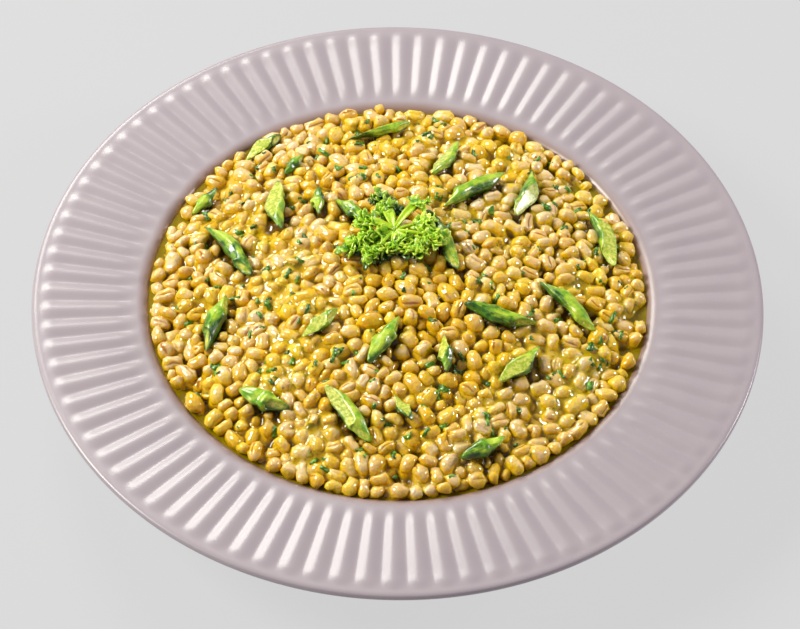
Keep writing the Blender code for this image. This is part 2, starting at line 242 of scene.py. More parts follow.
print("geometry helpers ready")

# %% [markdown]
# ## Small mesh helpers
# Most pieces start as arrays of points. These helpers turn points and faces into an object that sits at
# the origin with its place in its mesh, shaded smooth, and tell the frame what the object stands for.


# %% Objects from points
def in_scene(name, data):
    made = bpy.data.objects.new(name, data)
    bpy.context.scene.collection.objects.link(made)
    return made


def new_object(name, points, faces, finish=None):
    mesh = bpy.data.meshes.new(name)
    mesh.from_pydata([tuple(map(float, point)) for point in points], [], [tuple(map(int, f)) for f in faces])
    mesh.shade_smooth()
    if finish:
        mesh.materials.append(finish)
    return in_scene(name, mesh)


def upwards(height):
    return Vector((0, 0, height))


def points_of(piece):
    return np.array([vertex.co for vertex in piece.data.vertices])


print("object helpers ready")


# %% Faces between rings and on grids
def band(one, other, count):
    """The faces between two rings of points, given the number of each ring's first point."""
    return [(one + k, one + (k + 1) % count, other + (k + 1) % count, other + k) for k in range(count)]


def closed_rings(rings, count):
    """The faces of a closed shape whose points are a first point, the rings and a last point."""
    top = 1 + (rings - 1) * count
    faces = [(0, 1 + (k + 1) % count, 1 + k) for k in range(count)]
    for start in range(1, top, count):
        faces += band(start, start + count, count)
    return faces + [(top + k, top + (k + 1) % count, top + count) for k in range(count)]


def grid_faces(index):
    """A face for each cell of a grid of point numbers."""
    corners = (index[:-1, :-1], index[1:, :-1], index[1:, 1:], index[:-1, 1:])
    return np.stack(corners, axis=-1).reshape(-1, 4).tolist()


def border_of(index):
    """The numbers round the border of a grid of point numbers."""
    return [*index[:-1, 0], *index[-1, :-1], *index[:0:-1, -1], *index[0, :0:-1]]


print("face helpers ready")


# %% Stored values, outward faces and the frame
def place_in_frame(piece, slot, *nodes):
    """The piece rides on the plate and stands for the nodes; the slot is not used."""
    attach(piece, "root")
    if nodes:
        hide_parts(*nodes)
    print(f"{piece.name}: {len(piece.data.polygons)} faces")


def store(piece, label, values):
    """A number for each point, which a material can read by its label."""
    attribute = piece.data.attributes.new(label, "FLOAT", "POINT")
    attribute.data.foreach_set("value", np.asarray(values, np.float32).ravel())


def forget(piece, *labels):
    """Removes stored values that no material reads."""
    for label in labels:
        if label in piece.data.attributes:
            piece.data.attributes.remove(piece.data.attributes[label])


def face_outwards(piece, merge=0.0):
    """Turns every face outwards, after points nearer than merge are made one."""
    shape = bmesh.new()
    shape.from_mesh(piece.data)
    if merge:
        bmesh.ops.remove_doubles(shape, verts=shape.verts, dist=merge)
    bmesh.ops.recalc_face_normals(shape, faces=shape.faces)
    shape.to_mesh(piece.data)
    shape.free()


print("frame helpers ready")

# %% [markdown]
# ## The plate
# The plate is pressed stoneware: a deep well, a narrow smooth band, a nearly flat rim with ninety rounded
# ribs, and a smooth lip. It could be spun from a profile with the Screw modifier, but the ribs need points
# of their own, so the profile is turned in code with twelve steps to a rib. A Geometry Nodes tree then
# raises the ribs. Across, they are soft waves that meet in narrow grooves. Lengthwise, each fades out
# slowly towards the food and ends in a shorter nose at the lip.

# %% The plate's profile
RIM_IN = (106.6 * MM, 36.2 * MM)
RIM_OUT = (146.6 * MM, 39.6 * MM)
RIBS = 90
STEPS_ACROSS_RIB = 12


def smooth_path(points, step):
    """A smooth path through the points, with a point about every step."""
    points = np.array(points, float)
    spans = np.linalg.norm(np.diff(points, axis=0), axis=1)
    along = np.concatenate([[0], np.cumsum(spans)])
    slopes = np.gradient(points, along, axis=0)
    path = [points[0]]
    for i, span in enumerate(spans):
        for t in np.linspace(0, 1, max(1, round(span / step)) + 1)[1:]:
            ahead = t * t * (3 - 2 * t)
            start, end = t * (1 - t) ** 2 * span, -t * t * (1 - t) * span
            near = points[i] * (1 - ahead) + points[i + 1] * ahead
            path.append(near + slopes[i] * start + slopes[i + 1] * end)
    return [tuple(point) for point in path]


# Each run is a list of radii and heights in millimetres.
WELL_RUN = [(0, 8.5), (31, 8.6), (62, 8.8), (77, 10.0), (88, 13.5), (96, 20.0), (100.6, 28.0), (102.2, 33.0)]
BAND_RUN = [(102.2, 33.0), (102.9, 34.4), (103.9, 35.3), (105.2, 35.9), (106.6, 36.2)]
LIP_RUN = [(146.6, 39.6), (148.1, 39.75), (149.0, 39.65), (149.55, 39.25), (149.83, 38.6)]
LIP_RUN += [(149.8, 37.7), (149.2, 36.9)]
UNDER_RUN = [(149.2, 36.9), (146.2, 35.3), (127, 33.6), (108, 32.0), (106.2, 30.0), (101.2, 18.0)]
SIDE_RUN = [(101.2, 18.0), (92.5, 9.8), (80.0, 5.5), (73.0, 4.2)]
FOOT_RUN = [(73.0, 4.2), (71.6, 3.0), (71.1, 0.5), (70.6, 0.0)]
FOOT_RUN += [(67.6, 0.0), (66.2, 0.5), (65.6, 3.2), (0, 3.2)]
RIM_RINGS = 42


def metres(points):
    return [(r * MM, z * MM) for r, z in points]


top_rings = smooth_path(metres(WELL_RUN), 9 * MM)[:-1] + smooth_path(metres(BAND_RUN), 0.8 * MM)[:-1]
rim_band = list(zip(*np.linspace(RIM_IN, RIM_OUT, RIM_RINGS, endpoint=False).T))
lower_rings = smooth_path(metres(LIP_RUN), 0.7 * MM)[:-1] + smooth_path(metres(UNDER_RUN), 9 * MM)[:-1]
lower_rings += smooth_path(metres(SIDE_RUN), 8 * MM)[:-1] + metres(FOOT_RUN)
profile = top_rings + rim_band + lower_rings
print("rings in the plate's profile:", len(profile))


# %% Turn the profile
def turned(name, rings, steps):
    """A closed turned mesh from (radius, height) rings, the first and last of which lie on the axis."""
    angles = np.linspace(0, TURN, steps, endpoint=False)
    points = [(0, 0, rings[0][1])]
    for radius, height in rings[1:-1]:
        points += list(zip(radius * np.cos(angles), radius * np.sin(angles), np.full(steps, height)))
    points.append((0, 0, rings[-1][1]))
    piece = new_object(name, points, closed_rings(len(rings) - 2, steps))
    face_outwards(piece)
    return piece


RIM_STEPS = RIBS * STEPS_ACROSS_RIB
plate = turned("plate_ribbed", profile, RIM_STEPS)
first_rim_point = 1 + (len(top_rings) - 1) * RIM_STEPS
on_rim = np.zeros(len(plate.data.vertices))
on_rim[first_rim_point : first_rim_point + len(rim_band) * RIM_STEPS] = 1
store(plate, "on_rim", on_rim)

# %% [markdown]
# ## The glaze
# The glaze is a pale grey with a breath of pink, between satin and gloss: reflections of the lights are
# soft but still drawn along the ribs. All of its shine comes from a clear coat, and the body under it is
# matt. Very faint blotches and a trace of ripple keep it from looking like plastic. Beside the food its
# colour turns a warm brown, partly a smear of sauce and partly painted shade and painted reflection of
# the food.

# %% Glaze
FULL_SMEAR_AND_SHADE = 101.5 * MM  # the radius up to which the plate is darkened, partly sauce smear and partly painted shade
NO_SMEAR_AND_SHADE = 107.2 * MM  # and the radius where that darkening has gone
glaze = Finish(
    "glaze",
    {
        "Roughness": 0.6,
        "IOR": 1.5,
        "Coat Weight": 1.0,
        "Coat IOR": 1.58,
        "Coat Roughness": 0.30,
        "Specular IOR Level": 0.0,
    },
)
blotches = glaze.noise(18 * MM, detail=3)
clean = glaze.mix(blotches, shade(170, 160, 163), shade(160, 149, 156))
inwards = glaze.from_axis(glaze.place) * -1.0
# Painted shade and reflection of the food, partly real sauce smear: the band beside the food turns warm
# brown.
smear_and_painted_shade = glaze.between(inwards + blotches * 2 * MM, -NO_SMEAR_AND_SHADE, -FULL_SMEAR_AND_SHADE)
glaze.feed("Base Color", glaze.mix(smear_and_painted_shade * 0.70, clean, shade(138, 104, 82)))
glaze.bump(glaze.noise(2.5 * MM, detail=2), 0.02 * MM)
describe(glaze)

# %% Raise the ribs
ribs = GeometryTree(
    "ribs",
    {
        "Ribs": RIBS,
        "Height": 0.86 * MM,
        "Groove sharpness": 0.5,
        "Inner end": 106.6 * MM,
        "Outer end": 146.9 * MM,
        "Inner nose": 9.0 * MM,
        "Outer nose": 4.6 * MM,
        "Nose round": 1.2 * MM,
        "Groove start": 0.5 * MM,
        "Groove run-out": 9.0 * MM,
        "Sunk": 0.36,
        "Finish": glaze.material,
    },
)


def raise_ribs(tree):
    where = tree.add("GeometryNodeInputPosition")
    radius = tree.from_axis(where)
    turn = tree.maths("ARCTAN2", tree.part(where, "Y"), tree.part(where, "X")) / TURN
    arch = tree.maths("SINE", turn * tree.given("Ribs") * math.pi)
    broad = tree.maths("ABSOLUTE", arch)
    to_inner, to_outer = radius - tree.given("Inner end"), tree.given("Outer end") - radius
    beside = (1.0 - broad) * tree.given("Nose round")
    inner_nose = tree.between((to_inner - beside) / tree.given("Inner nose"), 0.0, 1.0)
    nose = inner_nose * tree.between((to_outer - beside) / tree.given("Outer nose"), 0.0, 1.0)
    to_end = tree.maths("MINIMUM", to_inner, to_outer)
    groove = tree.between((to_end - tree.given("Groove start")) / tree.given("Groove run-out"), 0.0, 1.0)
    sharp = tree.given("Groove sharpness")
    crest = broad * broad * (1.0 - sharp) + broad * sharp
    sunk = tree.given("Sunk")
    lift = (crest * (1.0 - sunk) * nose - (1.0 - crest) * sunk * groove) * tree.given("Height")
    marked = tree.stored("on_rim", "FLOAT")
    up = tree.add("ShaderNodeCombineXYZ", None, {"Z": lift * marked})
    raised = tree.add("GeometryNodeSetPosition", None, {"Geometry": tree.given("Geometry"), "Offset": up})
    real = tree.add("GeometryNodeRealizeInstances", None, {0: raised})
    tree.end(tree.add("GeometryNodeSetMaterial", None, {0: real, "Material": tree.given("Finish")}))


raise_ribs(ribs)
ribs.make(plate)
forget(plate, "on_rim")
place_in_frame(plate, "glaze", "plate")

# %% [markdown]
# ## The heap's shape
# The frame holds the heap as one bumpy solid. Its mean surface follows a short formula: a low uneven dome
# with a steep edge. The same formula is used here, so that the real grains pile up to the same form.

# %% The heap's mean surface
SAUCE_LEVEL = 33.5 * MM
HEAP_BASE = SAUCE_LEVEL + 0.3 * MM
HEAP_RADIUS = 100.5 * MM
HEAP_EDGE_RISE = 3.4 * MM
HEAP_DOME = 15.0 * MM
HEAP_UNEVEN = 1.2 * MM
SWELL_EAST, SWELL_NORTH = 0.023, 0.027  # how broad the heap's swells are, in metres


def heap_height(x, y):
    """The heap's mean height: a dome with low swells, and a steep rise at its edge."""
    reach = np.minimum(np.hypot(x, y) / HEAP_RADIUS, 1)
    uneven = np.sin(x / SWELL_EAST + 1.3) * np.cos(y / SWELL_NORTH - 0.4)
    dome = (HEAP_DOME + HEAP_UNEVEN * uneven) * (1 - reach**2) ** 1.1
    return HEAP_BASE + HEAP_EDGE_RISE * (1 - reach**30) + dome


print("heap's middle stands at", round(float(heap_height(0.0, 0.0)) / MM, 1), "mm")


# %% Where the asparagus lies
class Spear:
    """Measures of an asparagus piece, read from its solid in the frame."""

    def __init__(self, node):
        self.node = node
        points = points_of(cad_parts[node])
        middle = points.mean(axis=0)
        longest = np.linalg.svd(points - middle, full_matrices=False)[2][0]
        self.along = longest if longest[0] >= 0 else -longest
        side = np.cross((0, 0, 1), self.along)
        self.side = side / np.linalg.norm(side)
        self.up = np.cross(self.along, self.side)
        axes = np.array([self.along, self.side, self.up])
        local = (points - middle) @ axes.T
        low, high = local.min(axis=0), local.max(axis=0)
        self.length = high[0] - low[0]
        ends = np.abs(local[:, 0] - (low[0] + high[0]) / 2) > self.length / 4
        self.bend = local[~ends, 1].mean() - local[ends, 1].mean()
        self.width = np.ptp(local[~ends, 1])
        self.height = np.ptp(local[~ends, 2])
        centre = np.array(((low[0] + high[0]) / 2, local[:, 1].mean(), (low[2] + high[2]) / 2))
        self.middle = middle + centre @ axes

    def outside(self, x, y):
        """How far places lie outside its outline, seen from above; negative inside it."""
        flat = self.along[:2] / np.linalg.norm(self.along[:2])
        east, north = x - self.middle[0], y - self.middle[1]
        along = east * flat[0] + north * flat[1]
        across = north * flat[0] - east * flat[1]
        beyond = np.maximum(np.abs(along) - (self.length - self.width) / 2, 0)
        return np.hypot(beyond, across) - self.width / 2


spears = [Spear(name) for name in sorted(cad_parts) if name.startswith("asparagus")]
print("asparagus pieces:", len(spears), "longest:", round(max(s.length for s in spears) / MM, 1), "mm")


def outside_spears(x, y):
    return np.min([spear.outside(x, y) for spear in spears], axis=0)


# %% [markdown]
# ## Piling up the barley
# Real grains lie the way they fell. A cheap way to get that look is to treat each grain as two balls held
# apart by a rod, let every grain sink a little at a time, and push overlapping balls apart after each
# step. The grains turn, wedge and leave gaps by themselves. The floor of the pile is the heap's own
# core, a few grains' depth under the mean surface, and the asparagus pieces are rows of fixed balls. At
# the wall a few shallow bays stay open, where the sauce stands between the grains and the plate.

# %% Grains before they settle
GRAIN_COUNT = 1460
GRAIN_RADIUS = 3.02 * MM
GRAIN_HALF_ROD = 1.22 * MM
GRAIN_FIELD = 100 * MM
GRAIN_SEED = 7
SIZE_SPREAD = 0.13
SIZE_LIMITS = (0.66, 1.26)  # of the smallest and largest grain, as a share of the middle size
THICKNESSES = (0.90, 1.05)
ROD_LENGTHS = (0.45, 1.55)
CROWDING = 0.45  # less than a half sets more grains near the edge
START_HEIGHTS = (2, 10)  # over the core, in millimetres
ROD_TILT = 0.35
CORE_DEPTH = 9.0 * MM
CEILING_OVER = (-0.6 * MM, 2.4 * MM)  # how far a grain may rise over the mean surface
FIXED_BALL_STEP = 2 * MM
FIXED_BALL_INSET = 0.2 * MM
WALL_HEIGHTS = (8.5 * MM, 13.5 * MM, 20.0 * MM, 28.0 * MM, 34.0 * MM, 36.0 * MM, 45.0 * MM)
WALL_RADII = (60.0 * MM, 88.0 * MM, 96.0 * MM, 100.5 * MM, 102.3 * MM, 102.9 * MM, 103.4 * MM)

draw = np.random.default_rng(GRAIN_SEED)
size = np.clip(draw.normal(1, SIZE_SPREAD, GRAIN_COUNT), *SIZE_LIMITS)
grain_radius = GRAIN_RADIUS * size * draw.uniform(*THICKNESSES, GRAIN_COUNT)
half_rod = GRAIN_HALF_ROD * size * draw.uniform(*ROD_LENGTHS, GRAIN_COUNT)
start_reach = GRAIN_FIELD * draw.random(GRAIN_COUNT) ** CROWDING
start_turn = draw.uniform(0, TURN, GRAIN_COUNT)
start_x, start_y = start_reach * np.cos(start_turn), start_reach * np.sin(start_turn)
start_z = heap_height(start_x, start_y) - CORE_DEPTH + draw.uniform(*START_HEIGHTS, GRAIN_COUNT) * MM
heading = draw.uniform(0, TURN, GRAIN_COUNT)
rods = np.stack([np.cos(heading), np.sin(heading), draw.normal(0, ROD_TILT, GRAIN_COUNT)], axis=1)
rods /= np.linalg.norm(rods, axis=1, keepdims=True)
centres = np.stack([start_x, start_y, start_z], axis=1)
balls = np.concatenate([centres - rods * half_rod[:, None], centres + rods * half_rod[:, None]])
ball_radius = np.concatenate([grain_radius, grain_radius])
reach_over = np.tile(draw.uniform(*CEILING_OVER, GRAIN_COUNT), 2)
fixed_balls, fixed_radius = [], []
for spear in spears:
    for share in np.linspace(-0.5, 0.5, 2 + int(spear.length / FIXED_BALL_STEP)):
        reach = share * (spear.length - spear.width)
        sideways = spear.bend * (0.5 - 4 * share**2)
        fixed_balls.append(spear.middle + spear.along * reach + spear.side * sideways)
        fixed_radius.append(spear.width / 2 - FIXED_BALL_INSET)
print("grains:", GRAIN_COUNT, "fixed balls:", len(fixed_balls))


# %% Push overlapping grains apart
SETTLE_STEPS = 120
PASSES = 3
SINK = 0.08 * MM
REBUILD_EVERY = 6
PAIR_MARGIN = 1.2 * MM
EDGE_TOP = 37.4 * MM
EDGE_BAYS = 1.0 * MM  # how far the heap's edge may keep from the wall
UNDER_SPEAR = 0.8 * MM  # a grain this far inside an asparagus piece's outline and high up goes
SPEAR_ROOM = 0.5 * MM
SPARSE_FROM = 93 * MM  # beyond this radius a few grains are left out
LEFT_OUT = 0.10


def close_pairs(points, radii, moving):
    """Pairs of balls of different grains that nearly touch, at least one of which moves."""
    square = (points**2).sum(axis=1)
    apart = square[:, None] + square[None] - 2 * points @ points.T
    reach = radii[:, None] + radii[None] + PAIR_MARGIN
    one, other = np.nonzero(np.triu(apart < reach**2, 1))
    keep = (one < moving) & (other - one != moving // 2)
    return one[keep], other[keep]


def push_apart(points, radii, one, other, moving):
    """Moves overlapping balls apart, each by half, or the moving one by all of it."""
    between = points[other] - points[one]
    apart = np.maximum(np.linalg.norm(between, axis=1), 1e-9)
    overlap = np.maximum(radii[one] + radii[other] - apart, 0)
    push = between / apart[:, None] * overlap[:, None]
    share = np.where(other < moving, 0.5, 1.0)[:, None]
    count = np.bincount(one, overlap > 0, len(points)) + np.bincount(other, overlap > 0, len(points))
    ease = 1 / np.maximum(count, 1) ** 0.5
    for axis in range(3):
        move = np.bincount(other, push[:, axis] * share[:, 0], len(points))
        move -= np.bincount(one, push[:, axis] * share[:, 0], len(points))
        points[:moving, axis] += (move * ease)[:moving]


print("settling in", SETTLE_STEPS, "steps")


# %% Let them settle
def settle(balls, radii):
    moving = len(balls)
    half = moving // 2
    points = np.concatenate([balls, np.array(fixed_balls)])
    all_radii = np.concatenate([radii, np.array(fixed_radius)])
    for step in range(SETTLE_STEPS):
        if step % REBUILD_EVERY == 0:
            one, other = close_pairs(points, all_radii, moving)
        points[:moving, 2] -= SINK
        for _ in range(PASSES):
            push_apart(points, all_radii, one, other, moving)
            middle = (points[:half] + points[half:moving]) / 2
            rod = points[half:moving] - points[:half]
            rod *= (half_rod / np.maximum(np.linalg.norm(rod, axis=1), 1e-9))[:, None]
            points[:half], points[half:moving] = middle - rod, middle + rod
            x, y, z = points[:moving].T
            surface = heap_height(x, y)
            ceiling = np.maximum(surface, EDGE_TOP) + reach_over - radii
            points[:moving, 2] = np.clip(z, surface - CORE_DEPTH + radii, ceiling)
            reach = np.hypot(x, y)
            turn = np.arctan2(y, x)
            bay = np.clip(np.sin(5 * turn + 1) + np.sin(13 * turn) + 0.5 * np.sin(29 * turn), 0, 2) / 2
            allowed = np.interp(points[:moving, 2], WALL_HEIGHTS, WALL_RADII) - radii - EDGE_BAYS * bay
            inward = np.minimum(1, allowed / np.maximum(reach, 1e-9))
            points[:moving, :2] *= inward[:, None]
    return points[:half], points[half:moving]


ends_a, ends_b = settle(balls, ball_radius)
centres = (ends_a + ends_b) / 2
x, y, z = centres.T
above_spear = (outside_spears(x, y) < -UNDER_SPEAR) & (z > heap_height(x, y) - SPEAR_ROOM)
kept = ~above_spear & ((np.hypot(x, y) < SPARSE_FROM) | (draw.random(GRAIN_COUNT) > LEFT_OUT))
ends_a, ends_b, centres = ends_a[kept], ends_b[kept], centres[kept]
grain_radius, half_rod = grain_radius[kept], half_rod[kept]
print("grains kept:", len(centres), "highest middle:", round(centres[:, 2].max() / MM, 1), "mm")

# %% [markdown]
# ## The barley's finish
# Cooked pearl barley is a translucent cream that the sauce stains yellow. Light enters and comes out
# again, so the shader has subsurface scattering, and a thin wet coat gives the small sharp highlights.
# Each grain has a tone of its own. Its top is cream, or yellow in the broad patches where sauce clings to
# it, and is painted lighter as if lit; its flanks are a darker amber, painted shade; its crease is a brown
# line. Low between the grains the colour turns to the sauce's, where sauce gathers and shade is painted,
# and deep in the heap it is painted a shadowy brown. A fine bump gives the swollen skin.

# %% Barley finish
WET_SHINE = {"Coat Weight": 1.0, "Coat IOR": 1.66, "Coat Roughness": 0.05, "Specular IOR Level": 0.0}
barley = Finish(
    "barley",
    {
        "Roughness": 0.36,
        "IOR": 1.42,
        **WET_SHINE,
        **soft_inside(0.65, (1.0, 0.66, 0.20), 2.0 * MM),
    },
)


def grain_colour(finish, tone, crease):
    """Cream or, where stained, yellow tops painted lighter as if lit; amber flanks as painted shade; a brown
    crease.
    """
    stained = finish.between(finish.noise(24 * MM, detail=2) + finish.noise(3.5 * MM) * 0.7, 0.66, 1.0)
    cream = finish.mix(tone, shade(234, 209, 164), shade(226, 191, 124))
    yellow = finish.mix(tone, shade(236, 202, 68), shade(225, 177, 24))
    amber = finish.mix(tone, shade(236, 197, 12), shade(220, 169, 14))
    mottled = finish.noise(2.2 * MM, detail=3)
    # Painted light and shade: faces that point up are painted lighter, and the flanks a darker amber.
    top = finish.between(finish.facing_up() + mottled * 0.8, 0.65, 1.30)
    brown_line = finish.between(crease, 0.45, 0.95) * finish.between(tone, 0.15, 0.7) * 0.85
    pale = finish.mix(top, amber, finish.mix(stained, cream, yellow))
    return finish.mix(brown_line, pale, shade(160, 88, 20))


def eastern_side(finish):
    """0 over most of the heap and 1 towards its right side, where the sauce is greener."""
    east = finish.part(finish.place, "X")
    return finish.between(east + finish.noise(30 * MM) * 40 * MM, 20 * MM, 80 * MM)


def sauce_and_painted_shade(finish, colour):
    """Yellower low between the grains, where sauce gathers and shade is painted, and painted brown shadow
    deep in the heap.
    """
    # Painted shade, partly gathered sauce: the deeper a point lies under the food's blurred top, the
    # yellower and then browner.
    cavity = finish.attribute("cavity")
    low_sauce_and_shade = finish.mix(eastern_side(finish), shade(218, 172, 2), shade(204, 170, 6))
    low = finish.mix(finish.between(cavity, -0.3, 1.3) * 0.8, colour, low_sauce_and_shade)
    # Painted shadow: dark brown deep in the heap.
    return finish.mix(finish.between(cavity, 0.8, 2.6) * 0.95, low, shade(88, 60, 2))


tone = barley.attribute("tone")
barley.feed("Base Color", sauce_and_painted_shade(barley, grain_colour(barley, tone, barley.attribute("crease"))))
barley.bump(barley.noise(2.2 * MM, detail=4, roughness=0.60), 0.9 * MM)
describe(barley)

# %% [markdown]
# ## The grains
# A pearl-barley grain is a blunt oval with one side creased where the husk was. Eight kinds are enough,
# because each copy is stretched, turned and toned differently. A grain has sixty faces, as hundreds are
# made. The points where the grains lie carry the turn and the size of each copy. A Geometry Nodes tree
# puts the shape on them, gives each copy a random tone and realises them all, and a noise then pulls the
# points about a little, so that no two grains are alike.

# %% One grain's shape
EVEN_SIDES = tuple(range(90, 450, 36))
CREASE_SIDES = (90, 103, 128, 170, 220, 270, 320, 370, 412, 437)
GRAIN_RINGS = 5


def grain_shape(name, blunt, cleft, waist, lean, bend, seed):
    """A grain one unit long, wide and high, with its crease on top."""
    chance = random.Random(seed)
    lumps = [(chance.uniform(0, TURN), chance.uniform(-3, 3)) for _ in range(3)]
    sides = CREASE_SIDES if cleft else EVEN_SIDES
    points, marks = [(-0.5, 0, -bend * 0.5)], [0.0]
    for i in range(GRAIN_RINGS):
        along = -math.cos(math.pi * (i + 1) / (GRAIN_RINGS + 1))
        round_out = (1 - abs(along) ** blunt) ** (1 / 2.1) * (1 + lean * along)
        round_out *= 1 - waist * math.exp(-((along / 0.4) ** 2))
        for degrees in sides:
            angle = math.radians(degrees)
            off_crease = min(abs(degrees - 90), abs(degrees - 450)) / 17
            mark = math.exp(-(off_crease**2)) * (1 - along**4) if cleft else 0.0
            lumpy = 1 + 0.07 * math.sin(2 * angle + lumps[0][0] + lumps[0][1] * along)
            lumpy += 0.06 * math.sin(3 * angle + lumps[1][0] + lumps[1][1] * along)
            lumpy += 0.04 * math.sin(lumps[2][0] + (4 + lumps[2][1]) * along)
            radius = 0.5 * round_out * lumpy * (1 - cleft * mark)
            arch = bend * (0.5 - along**2)
            points.append((along / 2, radius * math.cos(angle), radius * math.sin(angle) + arch))
            marks.append(mark)
    points.append((0.5, 0, -bend * 0.5))
    marks.append(0.0)
    shape = new_object(name, points, closed_rings(GRAIN_RINGS, len(sides)))
    face_outwards(shape)
    store(shape, "crease", marks)
    return shape


# %% Eight kinds of grain
GRAIN_KINDS = (  # name, share, bluntness, depth of the crease, waist, lean, bend
    ("barley_plump", 0.18, 3.0, 0.0, 0.0, 0.06, 0.03),
    ("barley_oval", 0.10, 2.4, 0.0, 0.0, -0.10, 0.06),
    ("barley_pointed", 0.06, 1.7, 0.0, 0.0, 0.05, 0.05),
    ("barley_waisted", 0.10, 3.2, 0.0, 0.16, 0.10, 0.05),
    ("barley_creased", 0.20, 2.9, 0.22, 0.0, 0.05, 0.0),
    ("barley_split", 0.16, 3.3, 0.38, 0.05, -0.05, 0.04),
    ("barley_curved", 0.10, 2.6, 0.14, 0.0, 0.10, 0.16),
    ("barley_blunt", 0.10, 4.5, 0.18, 0.08, 0.14, 0.02),
)
grain_shapes = [grain_shape("shape_" + kind, *form, n) for n, (kind, _, *form) in enumerate(GRAIN_KINDS)]
print("faces in a grain:", [len(shape.data.polygons) for shape in grain_shapes])


# %% Scatter copies of a shape
UNEVEN_SIZE = 4.6 * MM  # the width of the dents that make every copy a little different


def scatter(name, shape, places, turns, sizes, finish, seed, uneven=0.0):
    """One mesh of copies of a shape, from where each lies, its Euler turn, its size along its own axes
    and how far the dents may pull its points."""
    cloud = new_object(name, places, [])
    for label, rows in (("turn", turns), ("size", sizes)):
        attribute = cloud.data.attributes.new(label, "FLOAT_VECTOR", "POINT")
        attribute.data.foreach_set("vector", np.asarray(rows, np.float32).ravel())
    tree = GeometryTree(name + "_tree", {"Shape": shape, "Finish": finish.material, "Seed": seed})
    sockets = {
        "Points": tree.given("Geometry"),
        "Instance": tree.add("GeometryNodeObjectInfo", None, {"Object": tree.given("Shape")}, "Geometry"),
        "Rotation": tree.add("FunctionNodeEulerToRotation", None, {0: tree.stored("turn", "FLOAT_VECTOR")}),
        "Scale": tree.stored("size", "FLOAT_VECTOR"),
    }
    copies = tree.add("GeometryNodeInstanceOnPoints", None, sockets)
    chance = tree.add("FunctionNodeRandomValue", {"data_type": "FLOAT"}, {"Seed": tree.given("Seed")}, 1)
    settings = {"data_type": "FLOAT", "domain": "INSTANCE"}
    sockets = {0: copies, "Name": "tone", "Value": chance}
    toned = tree.add("GeometryNodeStoreNamedAttribute", settings, sockets)
    real = tree.add("GeometryNodeRealizeInstances", None, {0: toned})
    pull = tree.add("ShaderNodeTexNoise", None, {"Scale": 1 / UNEVEN_SIZE, "Detail": 1.0}, output="Color")
    centred = tree.vector("SUBTRACT", pull, (0.5, 0.5, 0.5))
    offset = tree.add("ShaderNodeVectorMath", {"operation": "SCALE"}, {0: centred, "Scale": uneven})
    pulled = tree.add("GeometryNodeSetPosition", None, {"Geometry": real, "Offset": offset})
    tree.end(tree.add("GeometryNodeSetMaterial", None, {0: pulled, "Material": tree.given("Finish")}))
    tree.make(cloud)
    forget(cloud, "turn", "size")
    cloud.data.shade_smooth()
    return cloud


def turn_along(direction, roll):
    """The Euler turn that lays +X along a direction, with +Z up as far as it can be, then rolls it."""
    lay = Vector(direction).to_track_quat("X", "Z")
    return (lay @ Quaternion((1, 0, 0), roll)).to_euler("XYZ")


print("scatter tree ready")

# %% Lay the grains
GRAIN_UNEVEN = 2.8 * MM  # the depth of those dents in a grain
ROLL_SPREAD = 0.9
SQUASH = (0.90, 1.12)  # width and height of a grain, as shares of its thickness
kind_of = draw.choice(len(GRAIN_KINDS), len(centres), p=[kind[1] for kind in GRAIN_KINDS])
rolls = draw.normal(0, ROLL_SPREAD, len(centres))
wide = draw.uniform(*SQUASH, (len(centres), 2))
grain_sizes = np.column_stack([2 * (grain_radius + half_rod), 2 * grain_radius[:, None] * wide])
grain_pieces = []
for number, (kind, *_) in enumerate(GRAIN_KINDS):
    mine = np.nonzero(kind_of == number)[0]
    turns = [turn_along(ends_b[i] - ends_a[i], rolls[i]) for i in mine]
    rows = (centres[mine], turns, grain_sizes[mine])
    grains = scatter(kind, grain_shapes[number], *rows, barley, number, GRAIN_UNEVEN)
    place_in_frame(grains, "barley", "barley")
    grain_pieces.append(grains)
for shape in grain_shapes:
    bpy.data.objects.remove(shape)

# %% [markdown]
# ## Asparagus
# The pieces are thin green stalks cut on the slant. Cooking has wrinkled the skin lengthwise and left it
# glossy. One end is often pale lime and the other dark, the upper side is painted paler as if lit, and
# where a cut faces up its pale inside shows.
# Each piece is a tube of rings in code, because its wrinkles, taper and slanted ends follow simple
# formulas. Values stored on the points say how far along the stalk and how near a cut they are.

# %% Asparagus finish
asparagus = Finish(
    "asparagus",
    {
        "Roughness": 0.30,
        "IOR": 1.45,
        "Coat Weight": 1.0,
        "Coat Roughness": 0.16,
        **soft_inside(0.10, (0.4, 1.0, 0.15), 1.2 * MM),
    },
)
pale_end_and_lit_top = asparagus.attribute("pale")
cut = asparagus.attribute("cut")
patchy = asparagus.between(asparagus.noise(4.5 * MM, detail=4, roughness=0.55), 0.34, 0.66)
lengthwise = {axis: asparagus.attribute(label) for axis, label in zip("XYZ", ("along", "around", "own"))}
streak_place = asparagus.add("ShaderNodeCombineXYZ", None, lengthwise)
streaks = asparagus.add("ShaderNodeTexNoise", None, {"Vector": streak_place, "Scale": 1.0, "Detail": 3.0})
skin_dark = asparagus.mix(patchy, shade(24, 66, 10), shade(74, 132, 18))
skin_pale = asparagus.mix(patchy, shade(110, 168, 20), shade(192, 216, 62))
streaked = pale_end_and_lit_top + patchy * 0.18 + asparagus.between(streaks, 0.36, 0.64) * 0.35
skin = asparagus.mix(asparagus.between(streaked, 0.40, 0.95), skin_dark, skin_pale)
fibres = asparagus.between(asparagus.noise(1.4 * MM, detail=3), 0.35, 0.65)
flesh = asparagus.mix(fibres, shade(160, 184, 44), shade(222, 224, 104))
asparagus.feed("Base Color", asparagus.mix(cut, skin, flesh))
asparagus.bump(streaks * (1.0 - cut * 0.8) + asparagus.noise(1.8 * MM, detail=2) * 0.5, 0.7 * MM)
